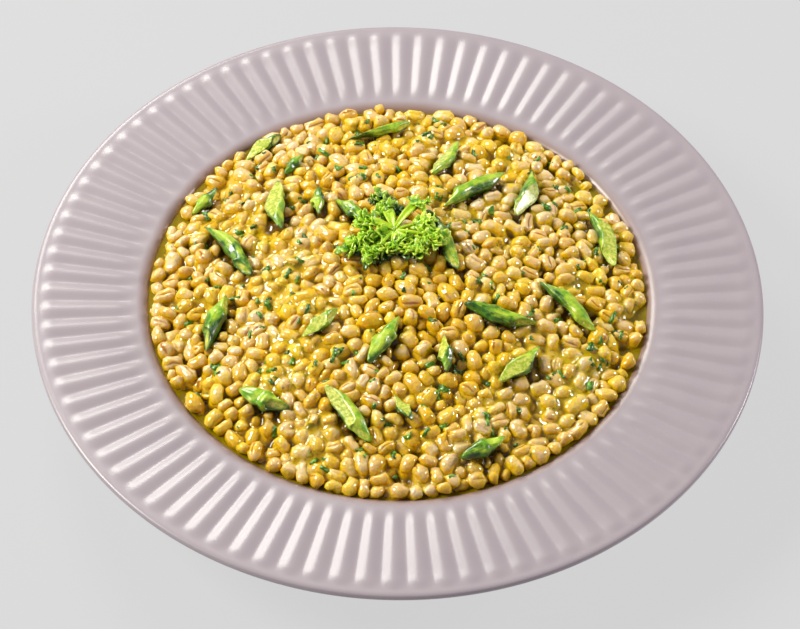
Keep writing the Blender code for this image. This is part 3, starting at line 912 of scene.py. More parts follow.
describe(asparagus)

# %% The shape of an asparagus piece
SPEAR_RINGS = 34
SPEAR_SIDES = 24
CUT_LENGTH = 1.5  # how far a slanted cut runs, in widths
CUT_TURNS = (-0.9, 0.7)
LONG_CUT_SHARE = 0.6  # of the pieces, those with a long cut face
LONG_CUT_DEPTH = (0.7, 1.25)
SPEAR_TIP = [(1.0, 0.86), (1.0, 0.45), (1.0, 0.0)]  # rings that close an end: place and radius share
SPEAR_SEED = 40


def asparagus_piece(spear, seed):
    """A wrinkled, slightly bent stalk with slanted cuts, in the place of its solid."""
    chance = random.Random(seed)
    phases = [chance.uniform(0, TURN) for _ in range(5)]
    pale_end = chance.choice((-1, 1))
    pale_all = chance.uniform(-0.20, 0.45)
    tilt = {-1: chance.uniform(*CUT_TURNS), 1: math.pi - chance.uniform(*CUT_TURNS)}
    slant = CUT_LENGTH * spear.width / 2
    face_turn = chance.uniform(-1.0, 1.0)
    face_end = chance.choice((-1, 1))
    face_depth = chance.uniform(*LONG_CUT_DEPTH) if chance.random() < LONG_CUT_SHARE else 0.0
    points, pale, cuts, ways, turns = [], [], [], [], []
    rings = [(-share, fill) for share, fill in reversed(SPEAR_TIP)]
    rings += [(share, 1.0) for share in np.linspace(-1, 1, SPEAR_RINGS)] + SPEAR_TIP
    for share, fill in rings:
        end = -1 if share < 0 else 1
        rounding = 1 - 0.12 * max(abs(share) - 0.93, 0) / 0.07
        taper = 1.04 - 0.34 * share**2
        sideways = spear.bend * (0.5 - share**2)
        for k in range(SPEAR_SIDES):
            angle = TURN * k / SPEAR_SIDES
            wrinkle = 1 + 0.055 * math.sin(7 * angle + phases[0] + 1.5 * share)
            wrinkle += 0.050 * math.sin(3 * angle - phases[1] + 4 * share)
            wrinkle += 0.030 * math.sin(9 * share + phases[2]) - 0.05 * math.cos(angle - phases[4]) ** 4
            wrinkle += 0.032 * math.sin(11 * angle + 6 * math.sin(3 * share + phases[3]))
            wrinkle += 0.07 * math.sin(6 * share + phases[3])
            radius = fill * rounding * taper * wrinkle
            across, up = math.cos(angle), math.sin(angle)
            facing = (across * math.sin(face_turn) + up * math.cos(face_turn)) * radius
            shaved = face_depth * (0.55 + 0.45 * share * face_end)
            over = max(facing - 1.0 + shaved, 0.0) if face_depth else 0.0
            lean = -end * slant * math.cos(angle - tilt[end]) * abs(share) ** 3 * fill
            along = share * (spear.length / 2 - slant * 0.85) + lean * 0.85
            east = (across * radius - over * math.sin(face_turn)) * spear.width / 2 + sideways
            rise = (up * radius - over * math.cos(face_turn)) * spear.height / 2
            points.append(spear.middle + along * spear.along + east * spear.side + rise * spear.up)
            # Painted light: the upper side of a stalk is paler, besides the real pale end and random
            # paleness.
            pale.append(pale_all + 0.25 + 0.30 * share * pale_end + 0.42 * math.sin(angle + phases[3] / 6))
            cuts.append(1.0 if fill < 0.8 else min(over / 0.10, 1.0))
            ways.append(along / (7 * MM))
            turns.append(2.2 * abs(math.remainder(angle + phases[4], TURN)))
    faces = []
    for i in range(len(rings) - 1):
        faces += band(i * SPEAR_SIDES, (i + 1) * SPEAR_SIDES, SPEAR_SIDES)
    piece = new_object(spear.node + "_stalk", points, faces, asparagus.material)
    own = [seed * 3.7] * len(points)
    for label, values in (("pale", pale), ("cut", cuts), ("along", ways), ("around", turns), ("own", own)):
        store(piece, label, values)
    face_outwards(piece, merge=0.01 * MM)
    return piece


# %% Asparagus pieces
asparagus_pieces = [asparagus_piece(spear, SPEAR_SEED + number) for number, spear in enumerate(spears)]
for spear, piece in zip(spears, asparagus_pieces):
    place_in_frame(piece, "asparagus", spear.node)

# %% [markdown]
# ## A map of the heap from above
# The sauce has to cling between the grains, and the herbs have to lie on them. Both need to know how high
# the food reaches at any place, so a ray is cast straight down at every cell of a square map. Each ray
# keeps the height where it lands and the tone and crease of the grain that it hits.

# %% Look down at the heap
CELL = 0.55 * MM
MAP_REACH = 106 * MM
MAP_CELLS = int(2 * MAP_REACH / CELL)
map_axis = (np.arange(MAP_CELLS) + 0.5) * CELL - MAP_REACH
MAP_X, MAP_Y = np.meshgrid(map_axis, map_axis, indexing="ij")
MAP_RADIUS = np.hypot(MAP_X, MAP_Y)
LOOK_FROM = 90 * MM
LOOK_RADIUS = 103.5 * MM
MEASURED_RADIUS = 96 * MM
mean_surface = heap_height(MAP_X, MAP_Y)
core = mean_surface - CORE_DEPTH


print("cells in the map:", MAP_CELLS**2)


# %% Cast the rays
def stored_values(piece, label):
    """The values stored under a label, or a half on every point of a piece without it."""
    values = np.full(len(piece.data.vertices), 0.5, np.float32)
    if label in piece.data.attributes:
        piece.data.attributes[label].data.foreach_get("value", values)
    return values


def look_down(pieces):
    """Maps of height, tone and crease of whatever a ray from above hits first."""
    points, faces, tones, creases = [], [], [], []
    for piece in pieces:
        start = len(points)
        points += [vertex.co for vertex in piece.data.vertices]
        faces += [[start + i for i in polygon.vertices] for polygon in piece.data.polygons]
        tones.append(stored_values(piece, "tone"))
        creases.append(stored_values(piece, "crease"))
    points = np.array(points)
    tree = BVHTree.FromPolygons(points, faces)
    down = Vector((0, 0, -1))
    heights, hit_face = core.copy(), np.full(core.shape, -1)
    for i, j in np.argwhere(MAP_RADIUS < LOOK_RADIUS):
        place, _, index, _ = tree.ray_cast(Vector((MAP_X[i, j], MAP_Y[i, j], LOOK_FROM)), down)
        if place and place.z > heights[i, j]:
            heights[i, j] = place.z
            hit_face[i, j] = index
    corners = np.array([face + [face[-1]] * (4 - len(face)) for face in faces])
    hits = hit_face >= 0
    spots = np.stack([MAP_X[hits], MAP_Y[hits], heights[hits]], axis=-1)
    corner = corners[hit_face[hits]]
    apart = np.linalg.norm(points[corner] - spots[:, None], axis=2)
    weights = 1 / (apart**2 + (0.1 * MM) ** 2)
    weights /= weights.sum(axis=1, keepdims=True)
    maps = [heights]
    for values, elsewhere in ((tones, 0.5), (creases, 0.0)):
        plan = np.full(core.shape, elsewhere)
        plan[hits] = (weights * np.concatenate(values)[corner]).sum(axis=1)
        maps.append(plan)
    return maps


grain_tops, top_tone, top_crease = look_down(grain_pieces)
spear_tops = look_down(asparagus_pieces)[0]
over_mean = (grain_tops - mean_surface)[MAP_RADIUS < MEASURED_RADIUS] / MM
print("grain tops over the mean surface, mm:", np.round(np.percentile(over_mean, [2, 25, 50, 75, 98]), 1))


# %% Smooth and read a map
DEEPEST_CLEFT = 7 * MM


def shifted(heights, steps, axis):
    """The map moved by some cells along an axis, its border repeated."""
    padded = np.pad(heights, [(abs(steps),) * 2 if a == axis else (0, 0) for a in (0, 1)], mode="edge")
    start = abs(steps) - steps
    return padded[start : start + MAP_CELLS] if axis == 0 else padded[:, start : start + MAP_CELLS]


def blurred(heights, width):
    """A Gaussian blur of a map, one axis after the other."""
    reach = int(3 * width / CELL)
    weights = np.exp(-0.5 * (np.arange(-reach, reach + 1) * CELL / width) ** 2)
    weights /= weights.sum()
    for axis in (0, 1):
        heights = sum(w * shifted(heights, k - reach, axis) for k, w in enumerate(weights))
    return heights


def swollen(heights, curve):
    """Every point of the map grown into a round hill whose top has the given radius of curvature."""
    reach = int(math.sqrt(2 * curve * DEEPEST_CLEFT) / CELL) + 1
    for axis in (0, 1):
        hills = [shifted(heights, k, axis) - (k * CELL) ** 2 / (2 * curve) for k in range(-reach, reach + 1)]
        heights = np.max(hills, axis=0)
    return heights


def filled(heights, curve):
    """The map with its clefts filled by fillets of the given radius, as a thick sauce fills them."""
    return -swollen(-swollen(heights, curve), curve)


def read_map(heights, x, y):
    """Heights between the map's cells."""
    spots = [(np.asarray(value) + MAP_REACH) / CELL - 0.5 for value in (x, y)]
    column, row = (np.clip(spot, 0, MAP_CELLS - 1.001) for spot in spots)
    i, j = column.astype(int), row.astype(int)
    a, b = column - i, row - j
    near = heights[i, j] * (1 - a) + heights[i + 1, j] * a
    far = heights[i, j + 1] * (1 - a) + heights[i + 1, j + 1] * a
    return near * (1 - b) + far * b


print("map helpers ready")

# %% [markdown]
# ## The sauce
# The sauce is thick: it stands level at the plate's wall, creeps up it a little, and clings to the grains
# as a film that bridges the clefts between them. Blender has no quick tool for a film on a thousand
# grains, but the map makes it easy: filling the map's clefts with fillets is just what the sauce's
# surface tension does. Where the heap is wet the film fills the clefts and only its thickest spots run
# over a grain; where it is dry it lies low, and the gaps stay open and dark. The same two functions that
# colour a grain colour the film where it is thin, and it turns lemon and then olive as it deepens.

# %% Sauce finish
sauce = Finish(
    "sauce",
    {
        "Roughness": 0.24,
        "IOR": 1.40,
        **WET_SHINE,
        **soft_inside(0.15, (1.0, 0.75, 0.15), 1.6 * MM),
    },
)
depth = sauce.attribute("depth")
# Where it is thin, the film takes the grains' colour, with their painted lit tops and shaded flanks.
under = grain_colour(sauce, sauce.attribute("tone"), sauce.attribute("crease"))
lemon = sauce.mix(sauce.noise(8 * MM, detail=3), shade(222, 191, 36), shade(203, 170, 14))
lemon = sauce.mix(eastern_side(sauce) * 0.8, lemon, shade(202, 186, 20))
olive = sauce.mix(sauce.noise(6 * MM, detail=4), shade(150, 132, 4), shade(104, 88, 2))
tinted = sauce.mix(sauce.between(depth, -0.1, 0.9), under, lemon)
sauce_colour = sauce.mix(sauce.between(depth, 0.2, 1.7), tinted, olive)
flecks = sauce.between(sauce.noise(1.0 * MM, detail=1), 0.69, 0.73)
# The film gets the same painted shade deep in the heap as the grains.
sauce.feed("Base Color", sauce_and_painted_shade(sauce, sauce.mix(flecks * 0.6, sauce_colour, shade(64, 92, 22))))
sauce.bump(sauce.noise(1.5 * MM, detail=3), 0.42 * MM)
describe(sauce)

# %% The pool
POOL_RUN = [(0, 9.0), (61.2, 9.3), (76.0, 10.6), (86.8, 14.2), (94.8, 20.6), (99.8, 28.4), (102.2, 33.4)]
CREEP_RUN = [(102.2, 33.4), (103.2, 33.9), (103.0, 34.05), (102.5, 33.95), (101.4, 33.7)]
CREEP_RUN += [(100.0, 33.5), (98.0, 33.4), (0, 33.4)]
POOL_STEPS = 240
POOL_DEPTH = 2.6  # deep enough to look olive all over, in millimetres
pool_rings = smooth_path(metres(POOL_RUN), 5 * MM)[:-1] + metres(CREEP_RUN)
pool = turned("sauce_pool", pool_rings, POOL_STEPS)
pool.data.materials.append(sauce.material)
store(pool, "depth", np.full(len(pool.data.vertices), POOL_DEPTH))
place_in_frame(pool, "sauce", "sauce")


# %% A grid pressed into a disc
def soft_noise(size, seed):
    """A map of a few waves in random directions, between about -1 and 1."""
    chance = random.Random(seed)
    total = np.zeros_like(MAP_X)
    for _ in range(7):
        turn, phase = chance.uniform(0, TURN), chance.uniform(0, TURN)
        stretch = size * chance.uniform(0.7, 1.4)
        total += np.sin((MAP_X * math.cos(turn) + MAP_Y * math.sin(turn)) / stretch + phase)
    return total / 3.2


def disc_grid(count, radius):
    """A square grid pressed into a disc, so that its border is the disc's edge."""
    line = np.linspace(-1, 1, count + 1)
    a, b = np.meshgrid(line, line, indexing="ij")
    wide = np.abs(a) > np.abs(b)
    reach = np.where(wide, a, b)
    safe_a, safe_b = np.where(a == 0, 1e-9, a), np.where(b == 0, 1e-9, b)
    angle = np.where(wide, math.pi / 4 * b / safe_a, math.pi / 2 - math.pi / 4 * a / safe_b)
    return radius * reach * np.cos(angle), radius * reach * np.sin(angle)


def slab(name, x, y, z, bottom, finish):
    """A closed solid between a grid of heights and a flat bottom."""
    count = x.shape[0]
    index = np.arange(count * count).reshape(count, count)
    border = border_of(index)
    points = list(zip(x.ravel(), y.ravel(), z.ravel()))
    foot = range(len(points), len(points) + len(border))
    points += [(points[i][0] * 0.98, points[i][1] * 0.98, bottom) for i in border]
    faces = grid_faces(index)
    for k, start in enumerate(border):
        following = (k + 1) % len(border)
        faces.append((start, foot[k], foot[following], border[following]))
    faces.append(tuple(reversed(foot)))
    made = new_object(name, points, faces, finish)
    face_outwards(made)
    return made


print("slab helpers ready")

# %% The film's height
FILM_GRID = 300
FILM_RADIUS = 100.9 * MM
DRY_CURVE, WET_CURVE = 0.3 * MM, 2.4 * MM
DRY_OFFSET, WET_OFFSET = -1.9 * MM, -0.55 * MM
COVERED = 0.35 * MM  # how much higher the sauce stands in its thickest spots
SPEAR_CLEARANCE = 0.5 * MM  # how far under the top of an asparagus piece the film stays
CORE_CLEARANCE = 1 * MM
FILM_BLUR = 0.4 * MM
EDGE_FALL_FROM, EDGE_FALL_RUN = 98.6 * MM, 2.2 * MM
EDGE_SUNK = 0.3 * MM  # how far the film's edge dips under the pool
FILM_BOTTOM = 26 * MM
UNDERSIDE_DEPTH = 2.0  # in millimetres, as the film's depth is stored
SHADE_BLUR = 2.6 * MM  # how broad the hollows are that count as deep for the painted shade
WET_SPOTS = (  # east, north and spread, in millimetres
    (73, -38, 17), (-62, 30, 24), (74, -4, 10), (-48, -48, 16), (5, 82, 16), (-30, -78, 14), (20, 30, 9),
)
wetness = 0.42 + 0.34 * soft_noise(13 * MM, 3) + 0.28 * soft_noise(3.2 * MM, 4)
for east, north, spread in WET_SPOTS:
    wetness += 0.55 * np.exp(-((MAP_X - east * MM) ** 2 + (MAP_Y - north * MM) ** 2) / (spread * MM) ** 2)
covered = np.clip((wetness - 1.05) / 0.30, 0, 1)
wetness = np.clip(wetness, 0, 1)
dry_film = filled(grain_tops, DRY_CURVE) + DRY_OFFSET
wet_film = filled(grain_tops, WET_CURVE) + WET_OFFSET + COVERED * covered
film = blurred(dry_film * (1 - wetness) + wet_film * wetness, FILM_BLUR)
film = np.where(spear_tops > grain_tops, np.minimum(film, spear_tops - SPEAR_CLEARANCE), film)
film = np.maximum(film, core + CORE_CLEARANCE)
edge_fall = np.clip((MAP_RADIUS - EDGE_FALL_FROM) / EDGE_FALL_RUN, 0, 1)
film = film * (1 - edge_fall) + (SAUCE_LEVEL - EDGE_SUNK) * edge_fall
print("film's highest place:", round(float(film.max()) / MM, 1), "mm")

# %% The film over the grains
film_x, film_y = disc_grid(FILM_GRID, FILM_RADIUS)
film_z = read_map(film, film_x, film_y)
film_piece = slab("sauce_film", film_x, film_y, film_z, FILM_BOTTOM, sauce.material)
under_film = np.full(len(film_piece.data.vertices) - film_z.size, UNDERSIDE_DEPTH)
film_depth = (film_z - read_map(grain_tops, film_x, film_y)) / MM
store(film_piece, "depth", [*film_depth.ravel(), *under_film])
for label, plan in (("tone", top_tone), ("crease", top_crease)):
    store(film_piece, label, [*read_map(plan, film_x, film_y).ravel(), *under_film * 0])
food_tops = np.maximum(np.maximum(grain_tops, film), spear_tops)
# Painted shade: how far each point lies under the blurred top of the food, which darkens its colour.
heap_top = blurred(food_tops, SHADE_BLUR)
for piece in (*grain_pieces, film_piece):
    x, y, z = points_of(piece).T
    store(piece, "cavity", (read_map(heap_top, x, y) - z) / MM)
print("share of the heap under the film:", round(float((film_depth > 0).mean()), 2))
place_in_frame(film_piece, "sauce", "barley")

# %% [markdown]
# ## Parsley
# The sprig is curly parsley, laid like an open fan. Smooth pale stalks spread from one point, and each
# ends in a cluster of small fingered leaflets that curl up and down. A frond is a short vein with eight
# fingers. A few shapes of frond, copied round the end of each stalk by the same scatter tree as the
# grains, make the clusters. Their tips are lime and glossy, and fronds that lie low in the sprig are
# painted dark green as shade.

# %% Parsley finish
parsley = Finish(
    "parsley",
    {
        "Roughness": 0.38,
        "IOR": 1.42,
        "Coat Weight": 1.0,
        "Coat Roughness": 0.07,
        **soft_inside(0.15, (0.6, 1.0, 0.1), 1.0 * MM),
    },
)
leaf_tone = parsley.attribute("tone")
to_edge = parsley.attribute("edge")
leaf_blotch = parsley.noise(1.5 * MM, detail=2)
leaf_deep = parsley.mix(leaf_tone, shade(20, 108, 0), shade(98, 188, 0))
leaf_tip = parsley.mix(leaf_tone, shade(176, 228, 18), shade(232, 252, 88))
leaf = parsley.mix(parsley.between(to_edge + leaf_blotch * 0.5, 0.5, 1.2), leaf_deep, leaf_tip)
# Painted shade: fronds that lie low over the heap are painted dark green.
shaded = parsley.between(parsley.attribute("lift") + leaf_blotch * 2, 3.4, 7.6)
parsley.feed("Base Color", parsley.mix(shaded, shade(16, 70, 6), leaf))
parsley.bump(parsley.noise(0.8 * MM, detail=2), 0.16 * MM)
describe(parsley)

# %% A frond of curly parsley
FINGER_PAIRS = ((0.08, 62), (0.30, 50), (0.54, 38), (0.74, 16))  # where on the vein, and degrees off it
FINGERS = [(start, side * degrees) for start, degrees in FINGER_PAIRS for side in (1, -1)]
FINGER_STEPS = 4
FROND_THICKNESS = 0.06


def frond_shape(name, seed):
    """A vein one unit long with eight curled fingers, its stalk end at the origin."""
    chance = random.Random(seed)
    points, faces, edge_marks = [], [], []
    for start, degrees in FINGERS:
        heading = math.radians(degrees + chance.uniform(-14, 14))
        long, broad = chance.uniform(0.40, 0.64), chance.uniform(0.26, 0.42)
        curl = chance.choice((-1, 1)) * chance.uniform(0.15, 0.45)
        ahead = Vector((math.cos(heading), math.sin(heading), 0))
        beside = Vector((-math.sin(heading), math.cos(heading), 0))
        foot = Vector((start, 0, 0.10 * math.sin(3 * start + seed)))
        first = len(points)
        for i in range(FINGER_STEPS + 1):
            t = i / FINGER_STEPS
            half = broad / 2 * (0.45 + 1.1 * math.sin(math.pi * t**0.8)) * (1 - 0.25 * t)
            middle = foot + ahead * long * t + upwards(curl * t * t)
            for side, lift in ((-1, 0.35), (0, 0.0), (1, 0.35)):
                points.append(middle + beside * half * side + upwards(half * lift))
                edge_marks.append(0.25 + 0.6 * t + 0.15 * abs(side))
        faces += grid_faces(np.arange(first, len(points)).reshape(-1, 3).T)
    shape = new_object(name, points, faces)
    store(shape, "edge", edge_marks)
    thick = shape.modifiers.new("thickness", "SOLIDIFY")
    thick.thickness = FROND_THICKNESS
    thick.offset = 0
    shape.data = plain_mesh(shape)
    shape.modifiers.clear()
    return shape


frond_shapes = [frond_shape("shape_frond_" + letter, seed) for seed, letter in enumerate("abc")]
print("faces in a frond:", [len(shape.data.polygons) for shape in frond_shapes])

# %% Where the fronds lie
LEAVES = (  # east and north of the sprig's foot, and the cluster's radius, in millimetres
    (-3, 13, 5.6), (9, 14, 5.0), (12, 4, 6.4), (17, -4, 5.6), (5, -9, 6.4), (-8, -12, 6.0), (-16, -6, 6.4),
    (-11, 4, 6.0), (-5, 20, 5.0), (-9, -4, 6.0), (4, -3, 5.0), (11, -8, 5.6), (-1, -8, 5.6),
)
FRONDS_IN_LEAF = 8
SPRIG = (-2 * MM, 14 * MM)
SPRIG_TOP = 64.0 * MM
SPRIG_SEED = 21
FORK_HEIGHT = 6.0 * MM
LEAF_RISE = 3.0 * MM
LEAF_RISE_ON_SPEAR = 5.0 * MM
UPPER_LEAF_RISE = 1.4 * MM  # every other leaf lies this much higher
sprig_foot = Vector((*SPRIG, float(heap_height(*SPRIG))))
sprig_fork = sprig_foot + upwards(FORK_HEIGHT)
chance = random.Random(SPRIG_SEED)
frond_rows = {shape.name: ([], [], []) for shape in frond_shapes}
leaf_middles = []
for number, (east, north, spread) in enumerate(LEAVES):
    x, y = SPRIG[0] + east * MM, SPRIG[1] + north * MM
    over = LEAF_RISE if outside_spears(x, y) > spread * MM else LEAF_RISE_ON_SPEAR
    middle = Vector((x, y, float(heap_height(x, y)) + over + number % 2 * UPPER_LEAF_RISE))
    leaf_middles.append(middle)
    away = math.atan2(middle.y - sprig_fork.y, middle.x - sprig_fork.x)
    for _ in range(FRONDS_IN_LEAF):
        turn = away + chance.gauss(0, 0.9)
        outward = Vector((math.cos(turn), math.sin(turn), chance.uniform(-0.25, 0.55))).normalized()
        long = spread * MM * chance.uniform(0.75, 1.10)
        shift, reach = chance.uniform(0, TURN), spread * MM * chance.uniform(0.0, 0.75)
        spot = middle - outward * long * 0.45
        spot += Vector((reach * math.cos(shift), reach * math.sin(shift), chance.uniform(-1.5, 2.2) * MM))
        rows = frond_rows[chance.choice(frond_shapes).name]
        rows[0].append(spot)
        rows[1].append(turn_along(outward, chance.gauss(0, 0.6)))
        rows[2].append((long, long, long))
print("highest leaf middle:", round(max(m.z for m in leaf_middles) / MM, 1), "mm")

# %% Fronds
for number, shape in enumerate(frond_shapes):
    places, turns, sizes = frond_rows[shape.name]
    name = shape.name.replace("shape_", "parsley_")
    fronds = scatter(name, shape, places, turns, sizes, parsley, 70 + number)
    for vertex in fronds.data.vertices:
        vertex.co.z = min(vertex.co.z, SPRIG_TOP)
    x, y, z = points_of(fronds).T
    store(fronds, "lift", (z - heap_height(x, y)) / MM)
    place_in_frame(fronds, "parsley", "parsley")
    bpy.data.objects.remove(shape)

# %% Stalk finish
parsley_stalk = Finish(
    "parsley_stalk",
    {
        "Roughness": 0.35,
        "IOR": 1.42,
        "Coat Weight": 0.5,
        "Subsurface Weight": 0.2,
        "Subsurface Scale": 1 * MM,
    },
)
stalk_streak = parsley_stalk.noise(1.2 * MM, detail=3)
parsley_stalk.feed("Base Color", parsley_stalk.mix(stalk_streak, shade(136, 190, 8), shade(204, 226, 44)))
parsley_stalk.bump(stalk_streak, 0.06 * MM)
describe(parsley_stalk)

# %% Tubes and blades
STALK_SIDES = 8
STALK_STEPS = 8
BLADE_COLUMNS = 5
BLADE_FOLD = 0.45
BLADE_THICKNESS = 0.45 * MM


def way_at(path, i):
    """Which way a path runs at its point i."""
    return path[min(i + 1, len(path) - 1)] - path[max(i - 1, 0)]


def add_tube(points, faces, path, radii):
    """Adds a closed tube round a path."""
    start = len(points)
    for i, (middle, radius) in enumerate(zip(path, radii)):
        turn = way_at(path, i).to_track_quat("Z", "Y")
        for k in range(STALK_SIDES):
            angle = TURN * k / STALK_SIDES
            points.append(middle + turn @ Vector((radius * math.cos(angle), radius * math.sin(angle), 0)))
    last = len(points) - STALK_SIDES
    for first in range(start, last, STALK_SIDES):
        faces += band(first, first + STALK_SIDES, STALK_SIDES)
    faces.append(tuple(range(start, start + STALK_SIDES))[::-1])
    faces.append(tuple(range(last, last + STALK_SIDES)))


def arched(start, end, rise, steps):
    """Places along a curve from start to end that rises in its middle."""
    crown = (start + end) / 2 + upwards(rise)
    shares = [i / steps for i in range(steps + 1)]
    return [start * (1 - t) ** 2 + crown * 2 * t * (1 - t) + end * t**2 for t in shares]


def add_blade(points, faces, path, halves):
    """A leaf's smooth base: a strip along a path, folded a little along its middle, with two faces."""
    start = len(points)
    for layer in (0, -1):
        for i, (middle, half) in enumerate(zip(path, halves)):
            beside = Vector((0, 0, 1)).cross(way_at(path, i)).normalized()
            for share in np.linspace(-1, 1, BLADE_COLUMNS):
                lift = abs(share) * half * BLADE_FOLD + layer * BLADE_THICKNESS
                points.append(middle + beside * half * float(share) + upwards(lift))
    upper, lower = np.arange(start, len(points)).reshape(2, -1, BLADE_COLUMNS)
    faces += grid_faces(upper.T) + grid_faces(lower)
    border, below = border_of(upper), border_of(lower)
    for k in range(len(border)):
        faces.append((border[k - 1], border[k], below[k], below[k - 1]))


print("tube and blade helpers ready")

# %% Stalks
BLADES = {0: 2.3, 1: 1.7, 7: 1.6}  # leaves with a broad base, and its half width in millimetres
BLADE_NARROW = 0.7  # half its width where it starts
BLADE_RAISED = 1.0 * MM
STEM = ((-1.5, 1.3), (0.5, 1.4), (2.5, 1.4), (4.5, 1.4), (6.0, 1.2))  # height and radius, in millimetres
STALK_DROP = 1.2 * MM  # how far under the fork the stalks leave the stem
STALK_RISE = 2.0 * MM
STALK_RADII = (1.0, 0.4)
stalk_points, stalk_faces = [], []
stem = [sprig_foot + upwards(height * MM) for height, _ in STEM]
add_tube(stalk_points, stalk_faces, stem, [radius * MM for _, radius in STEM])
for number, middle in enumerate(leaf_middles):
    path = arched(sprig_fork - upwards(STALK_DROP), middle, STALK_RISE, STALK_STEPS)
    add_tube(stalk_points, stalk_faces, path, np.linspace(*STALK_RADII, STALK_STEPS + 1) * MM)
    if number in BLADES:
        shares = np.linspace(0, 1, STALK_STEPS + 1)
        broadening = (BLADES[number] - BLADE_NARROW) * np.sin(shares * 2.2) ** 1.2
        halves = (BLADE_NARROW + broadening) * MM
        raised = [place + upwards(BLADE_RAISED) for place in path]
        add_blade(stalk_points, stalk_faces, raised, [float(half) for half in halves])
stalks = new_object("parsley_stalks", stalk_points, stalk_faces, parsley_stalk.material)
face_outwards(stalks)
place_in_frame(stalks, "parsley", "parsley")

# %% [markdown]
# ## Chopped herbs
# Flakes of parsley and short cut chives lie on the grains, a few millimetres long and dark green. They
# are strewn by a seeded rule, and each lies on the map of the heap, leaning as the surface does.

# %% Herb finish
herb = Finish("herb", {"Roughness": 0.35, "IOR": 1.45, "Coat Weight": 0.7, "Coat Roughness": 0.08})
herb_colour = herb.mix(herb.attribute("tone"), shade(24, 66, 4), shade(70, 124, 12))
herb_light = herb.between(herb.noise(1.3 * MM, detail=3), 0.46, 0.66)
herb.feed("Base Color", herb.mix(herb_light, herb_colour, shade(120, 176, 60)))
herb.bump(herb.noise(0.9 * MM, detail=2), 0.12 * MM)
describe(herb)

# %% Herb shapes
FLAKE_CORNERS = 9
CHIVE_SIDES = 8


def flake_shape(name, seed):
    """A torn flake one unit long: a wavy irregular disc with two faces."""
    chance = random.Random(seed)
    rim = []
    for k in range(FLAKE_CORNERS):
        angle = TURN * k / FLAKE_CORNERS
        reach = 0.5 * chance.uniform(0.6, 1.0)
        wave = 0.15 * math.sin(2 * angle + seed)
        rim.append((reach * math.cos(angle), 0.75 * reach * math.sin(angle), wave))
    points = [(0, 0, 0.08), *rim, *[(x, y, z - 0.07) for x, y, z in rim], (0, 0, 0.0)]
    shape = new_object(name, points, closed_rings(2, FLAKE_CORNERS))
    face_outwards(shape)
    return shape


def chive_shape(name):
    """A short cut tube one unit long and wide."""
    rings = ((0, 0.30), (0, 0.5), (1, 0.5), (1, 0.30))
    points, faces = [], []
    for i, (share, radius) in enumerate(rings):
        faces += band(i * CHIVE_SIDES, (i + 1) % len(rings) * CHIVE_SIDES, CHIVE_SIDES)
        for k in range(CHIVE_SIDES):
            angle = TURN * k / CHIVE_SIDES
            points.append((share - 0.5, radius * math.cos(angle), radius * math.sin(angle)))
    shape = new_object(name, points, faces)
    face_outwards(shape)
    return shape


# %% Kinds of herb
HERB_KINDS = (  # name, shape, how many, and the shortest and the longest in millimetres
    ("herb_flake_a", flake_shape("shape_flake_a", 1), 76, 2.6, 6.6),
    ("herb_flake_b", flake_shape("shape_flake_b", 2), 84, 2.0, 5.0),
    ("herb_chive", chive_shape("shape_chive"), 36, 2.4, 6.0),
    ("herb_crumb", flake_shape("shape_crumb", 5), 130, 0.6, 1.2),
)
HERB_FIELD = 97 * MM
CHIVE_WIDTH = 1.7 * MM
HERB_LIFT = 0.25 * MM  # over the blurred surface, so that a flake's middle shows
HERB_BLUR = 0.7 * MM
HERB_SEED = 33
SPEAR_BERTH = 1 * MM  # how far the herbs keep from the asparagus
print("herbs:", sum(kind[2] for kind in HERB_KINDS))

# %% Strew the herbs
rest_map = blurred(food_tops, HERB_BLUR)
slope_x, slope_y = np.gradient(rest_map, CELL)
chance = random.Random(HERB_SEED)
for number, (kind, shape, count, shortest, longest) in enumerate(HERB_KINDS):
    places, turns, sizes = [], [], []
    while len(places) < count:
        reach, turn = HERB_FIELD * math.sqrt(chance.random()), chance.uniform(0, TURN)
        x, y = reach * math.cos(turn), reach * math.sin(turn)
        if outside_spears(x, y) < SPEAR_BERTH:
            continue
        heading = chance.uniform(0, TURN)
        fall = read_map(slope_x, x, y) * math.cos(heading) + read_map(slope_y, x, y) * math.sin(heading)
        long = chance.uniform(shortest, longest) * MM
        places.append((x, y, float(read_map(rest_map, x, y)) + HERB_LIFT))
        lie = (math.cos(heading), math.sin(heading), float(np.clip(fall, -1, 1)))
        turns.append(turn_along(lie, chance.uniform(-0.5, 0.5)))
        sizes.append((long, CHIVE_WIDTH, CHIVE_WIDTH) if kind == "herb_chive" else (long, long, long))
    strewn = scatter(kind, shape, places, turns, sizes, herb, 90 + number)
    place_in_frame(strewn, "parsley", "barley")
    bpy.data.objects.remove(shape)

# %% [markdown]
# ## Table, light and camera
# The plate stands on a pale table that hardly takes a shadow, because most of its brightness is its own.
# A large warm-white light stands high on the left, a window's light behind on the left and a small pale
# one on the right, and a faintly lavender surround fills the rest. The camera looks down at about fifty
# degrees with a long lens.

# %% Table
TABLE_CORNERS = [(-4, -4, 0), (4, -4, 0), (4, 4, 0), (-4, 4, 0)]
table_finish = Finish(
    "table_top",
    {
        "Roughness": 0.8,
        "Base Color": shade(62, 62, 64),
        "Emission Color": shade(216, 216, 216),
        "Emission Strength": 0.89,
    },
)
table_top = new_object("table_top", TABLE_CORNERS, [(0, 1, 2, 3)], table_finish.material)

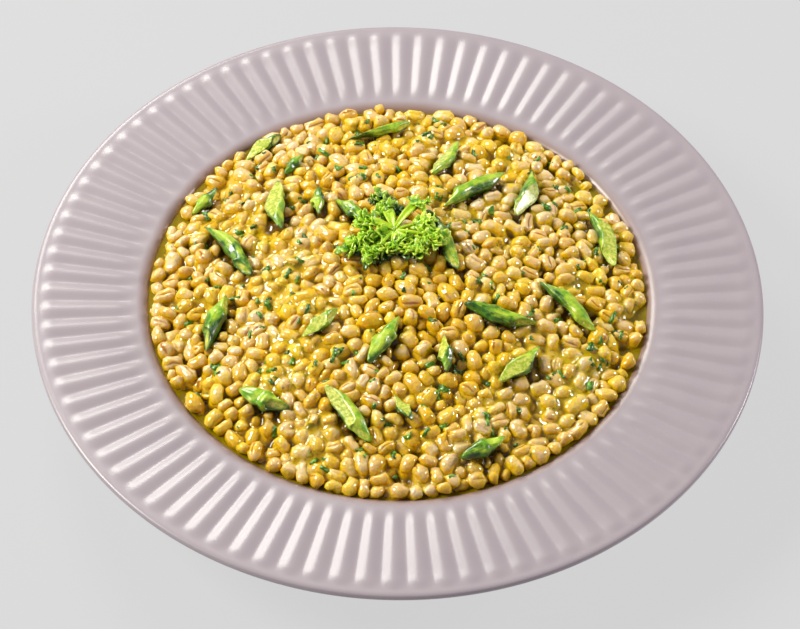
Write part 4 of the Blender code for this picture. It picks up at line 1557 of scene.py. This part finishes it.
# %% Lights
LIT_SPOT = Vector((0, 0, 30 * MM))
LIGHTS = (  # name, place, width, watts and colour
    ("key", (-1.06, 0.05, 0.99), 0.60, 21.7, (1.0, 0.99, 0.92)),
    ("window", (-0.42, 0.86, 0.80), 0.50, 7.8, (1.0, 1.0, 0.94)),
    ("right", (1.1, 0.25, 0.50), 0.30, 8.0, (0.96, 0.93, 0.94)),
)
SURROUND = (0.93, 0.87, 1.0, 1)
SURROUND_STRENGTH = 0.21
for name, place, width, watts, colour in LIGHTS:
    lamp = bpy.data.lights.new(name, "AREA")
    lamp.shape = "DISK"
    lamp.size = width
    lamp.energy = watts
    lamp.color = colour
    light = in_scene(name, lamp)
    light.location = place
    light.rotation_euler = (LIT_SPOT - light.location).to_track_quat("-Z", "Y").to_euler()
world = bpy.data.worlds.new("surround")
bpy.context.scene.world = world
world.use_nodes = True
background = world.node_tree.nodes["Background"]
background.inputs["Color"].default_value = SURROUND
background.inputs["Strength"].default_value = SURROUND_STRENGTH
bpy.context.scene.view_settings.view_transform = "Standard"
print("lights:", [name for name, *_ in LIGHTS])

# %% Camera
CAMERA_DISTANCE = 1.019
CAMERA_ELEVATION = math.radians(51.0)
CAMERA_ROLL = math.radians(0.9)
LOOK_AT = Vector((0, 0, 38 * MM))
FRAME_WIDTH, FRAME_HEIGHT = 800, 629
FOCAL_PIXELS = 2478
LOOK_AT_PIXEL = (397.9, 287.9)
SENSOR_WIDTH = 36  # in millimetres

lens = bpy.data.cameras.new("camera")
lens.sensor_width = SENSOR_WIDTH
lens.lens = FOCAL_PIXELS / FRAME_WIDTH * SENSOR_WIDTH
lens.shift_x = (FRAME_WIDTH / 2 - LOOK_AT_PIXEL[0]) / FRAME_WIDTH
lens.shift_y = (LOOK_AT_PIXEL[1] - FRAME_HEIGHT / 2) / FRAME_WIDTH
lens.clip_start = 0.01
camera = in_scene("camera", lens)
back = Vector((0, -math.cos(CAMERA_ELEVATION), math.sin(CAMERA_ELEVATION)))
tilt = Matrix.Rotation(math.pi / 2 - CAMERA_ELEVATION, 4, "X") @ Matrix.Rotation(CAMERA_ROLL, 4, "Z")
camera.matrix_world = Matrix.Translation(LOOK_AT + back * CAMERA_DISTANCE) @ tilt
bpy.context.scene.camera = camera
print("camera at", [round(c, 3) for c in camera.location])

# %% Finish
bpy.context.view_layer.update()
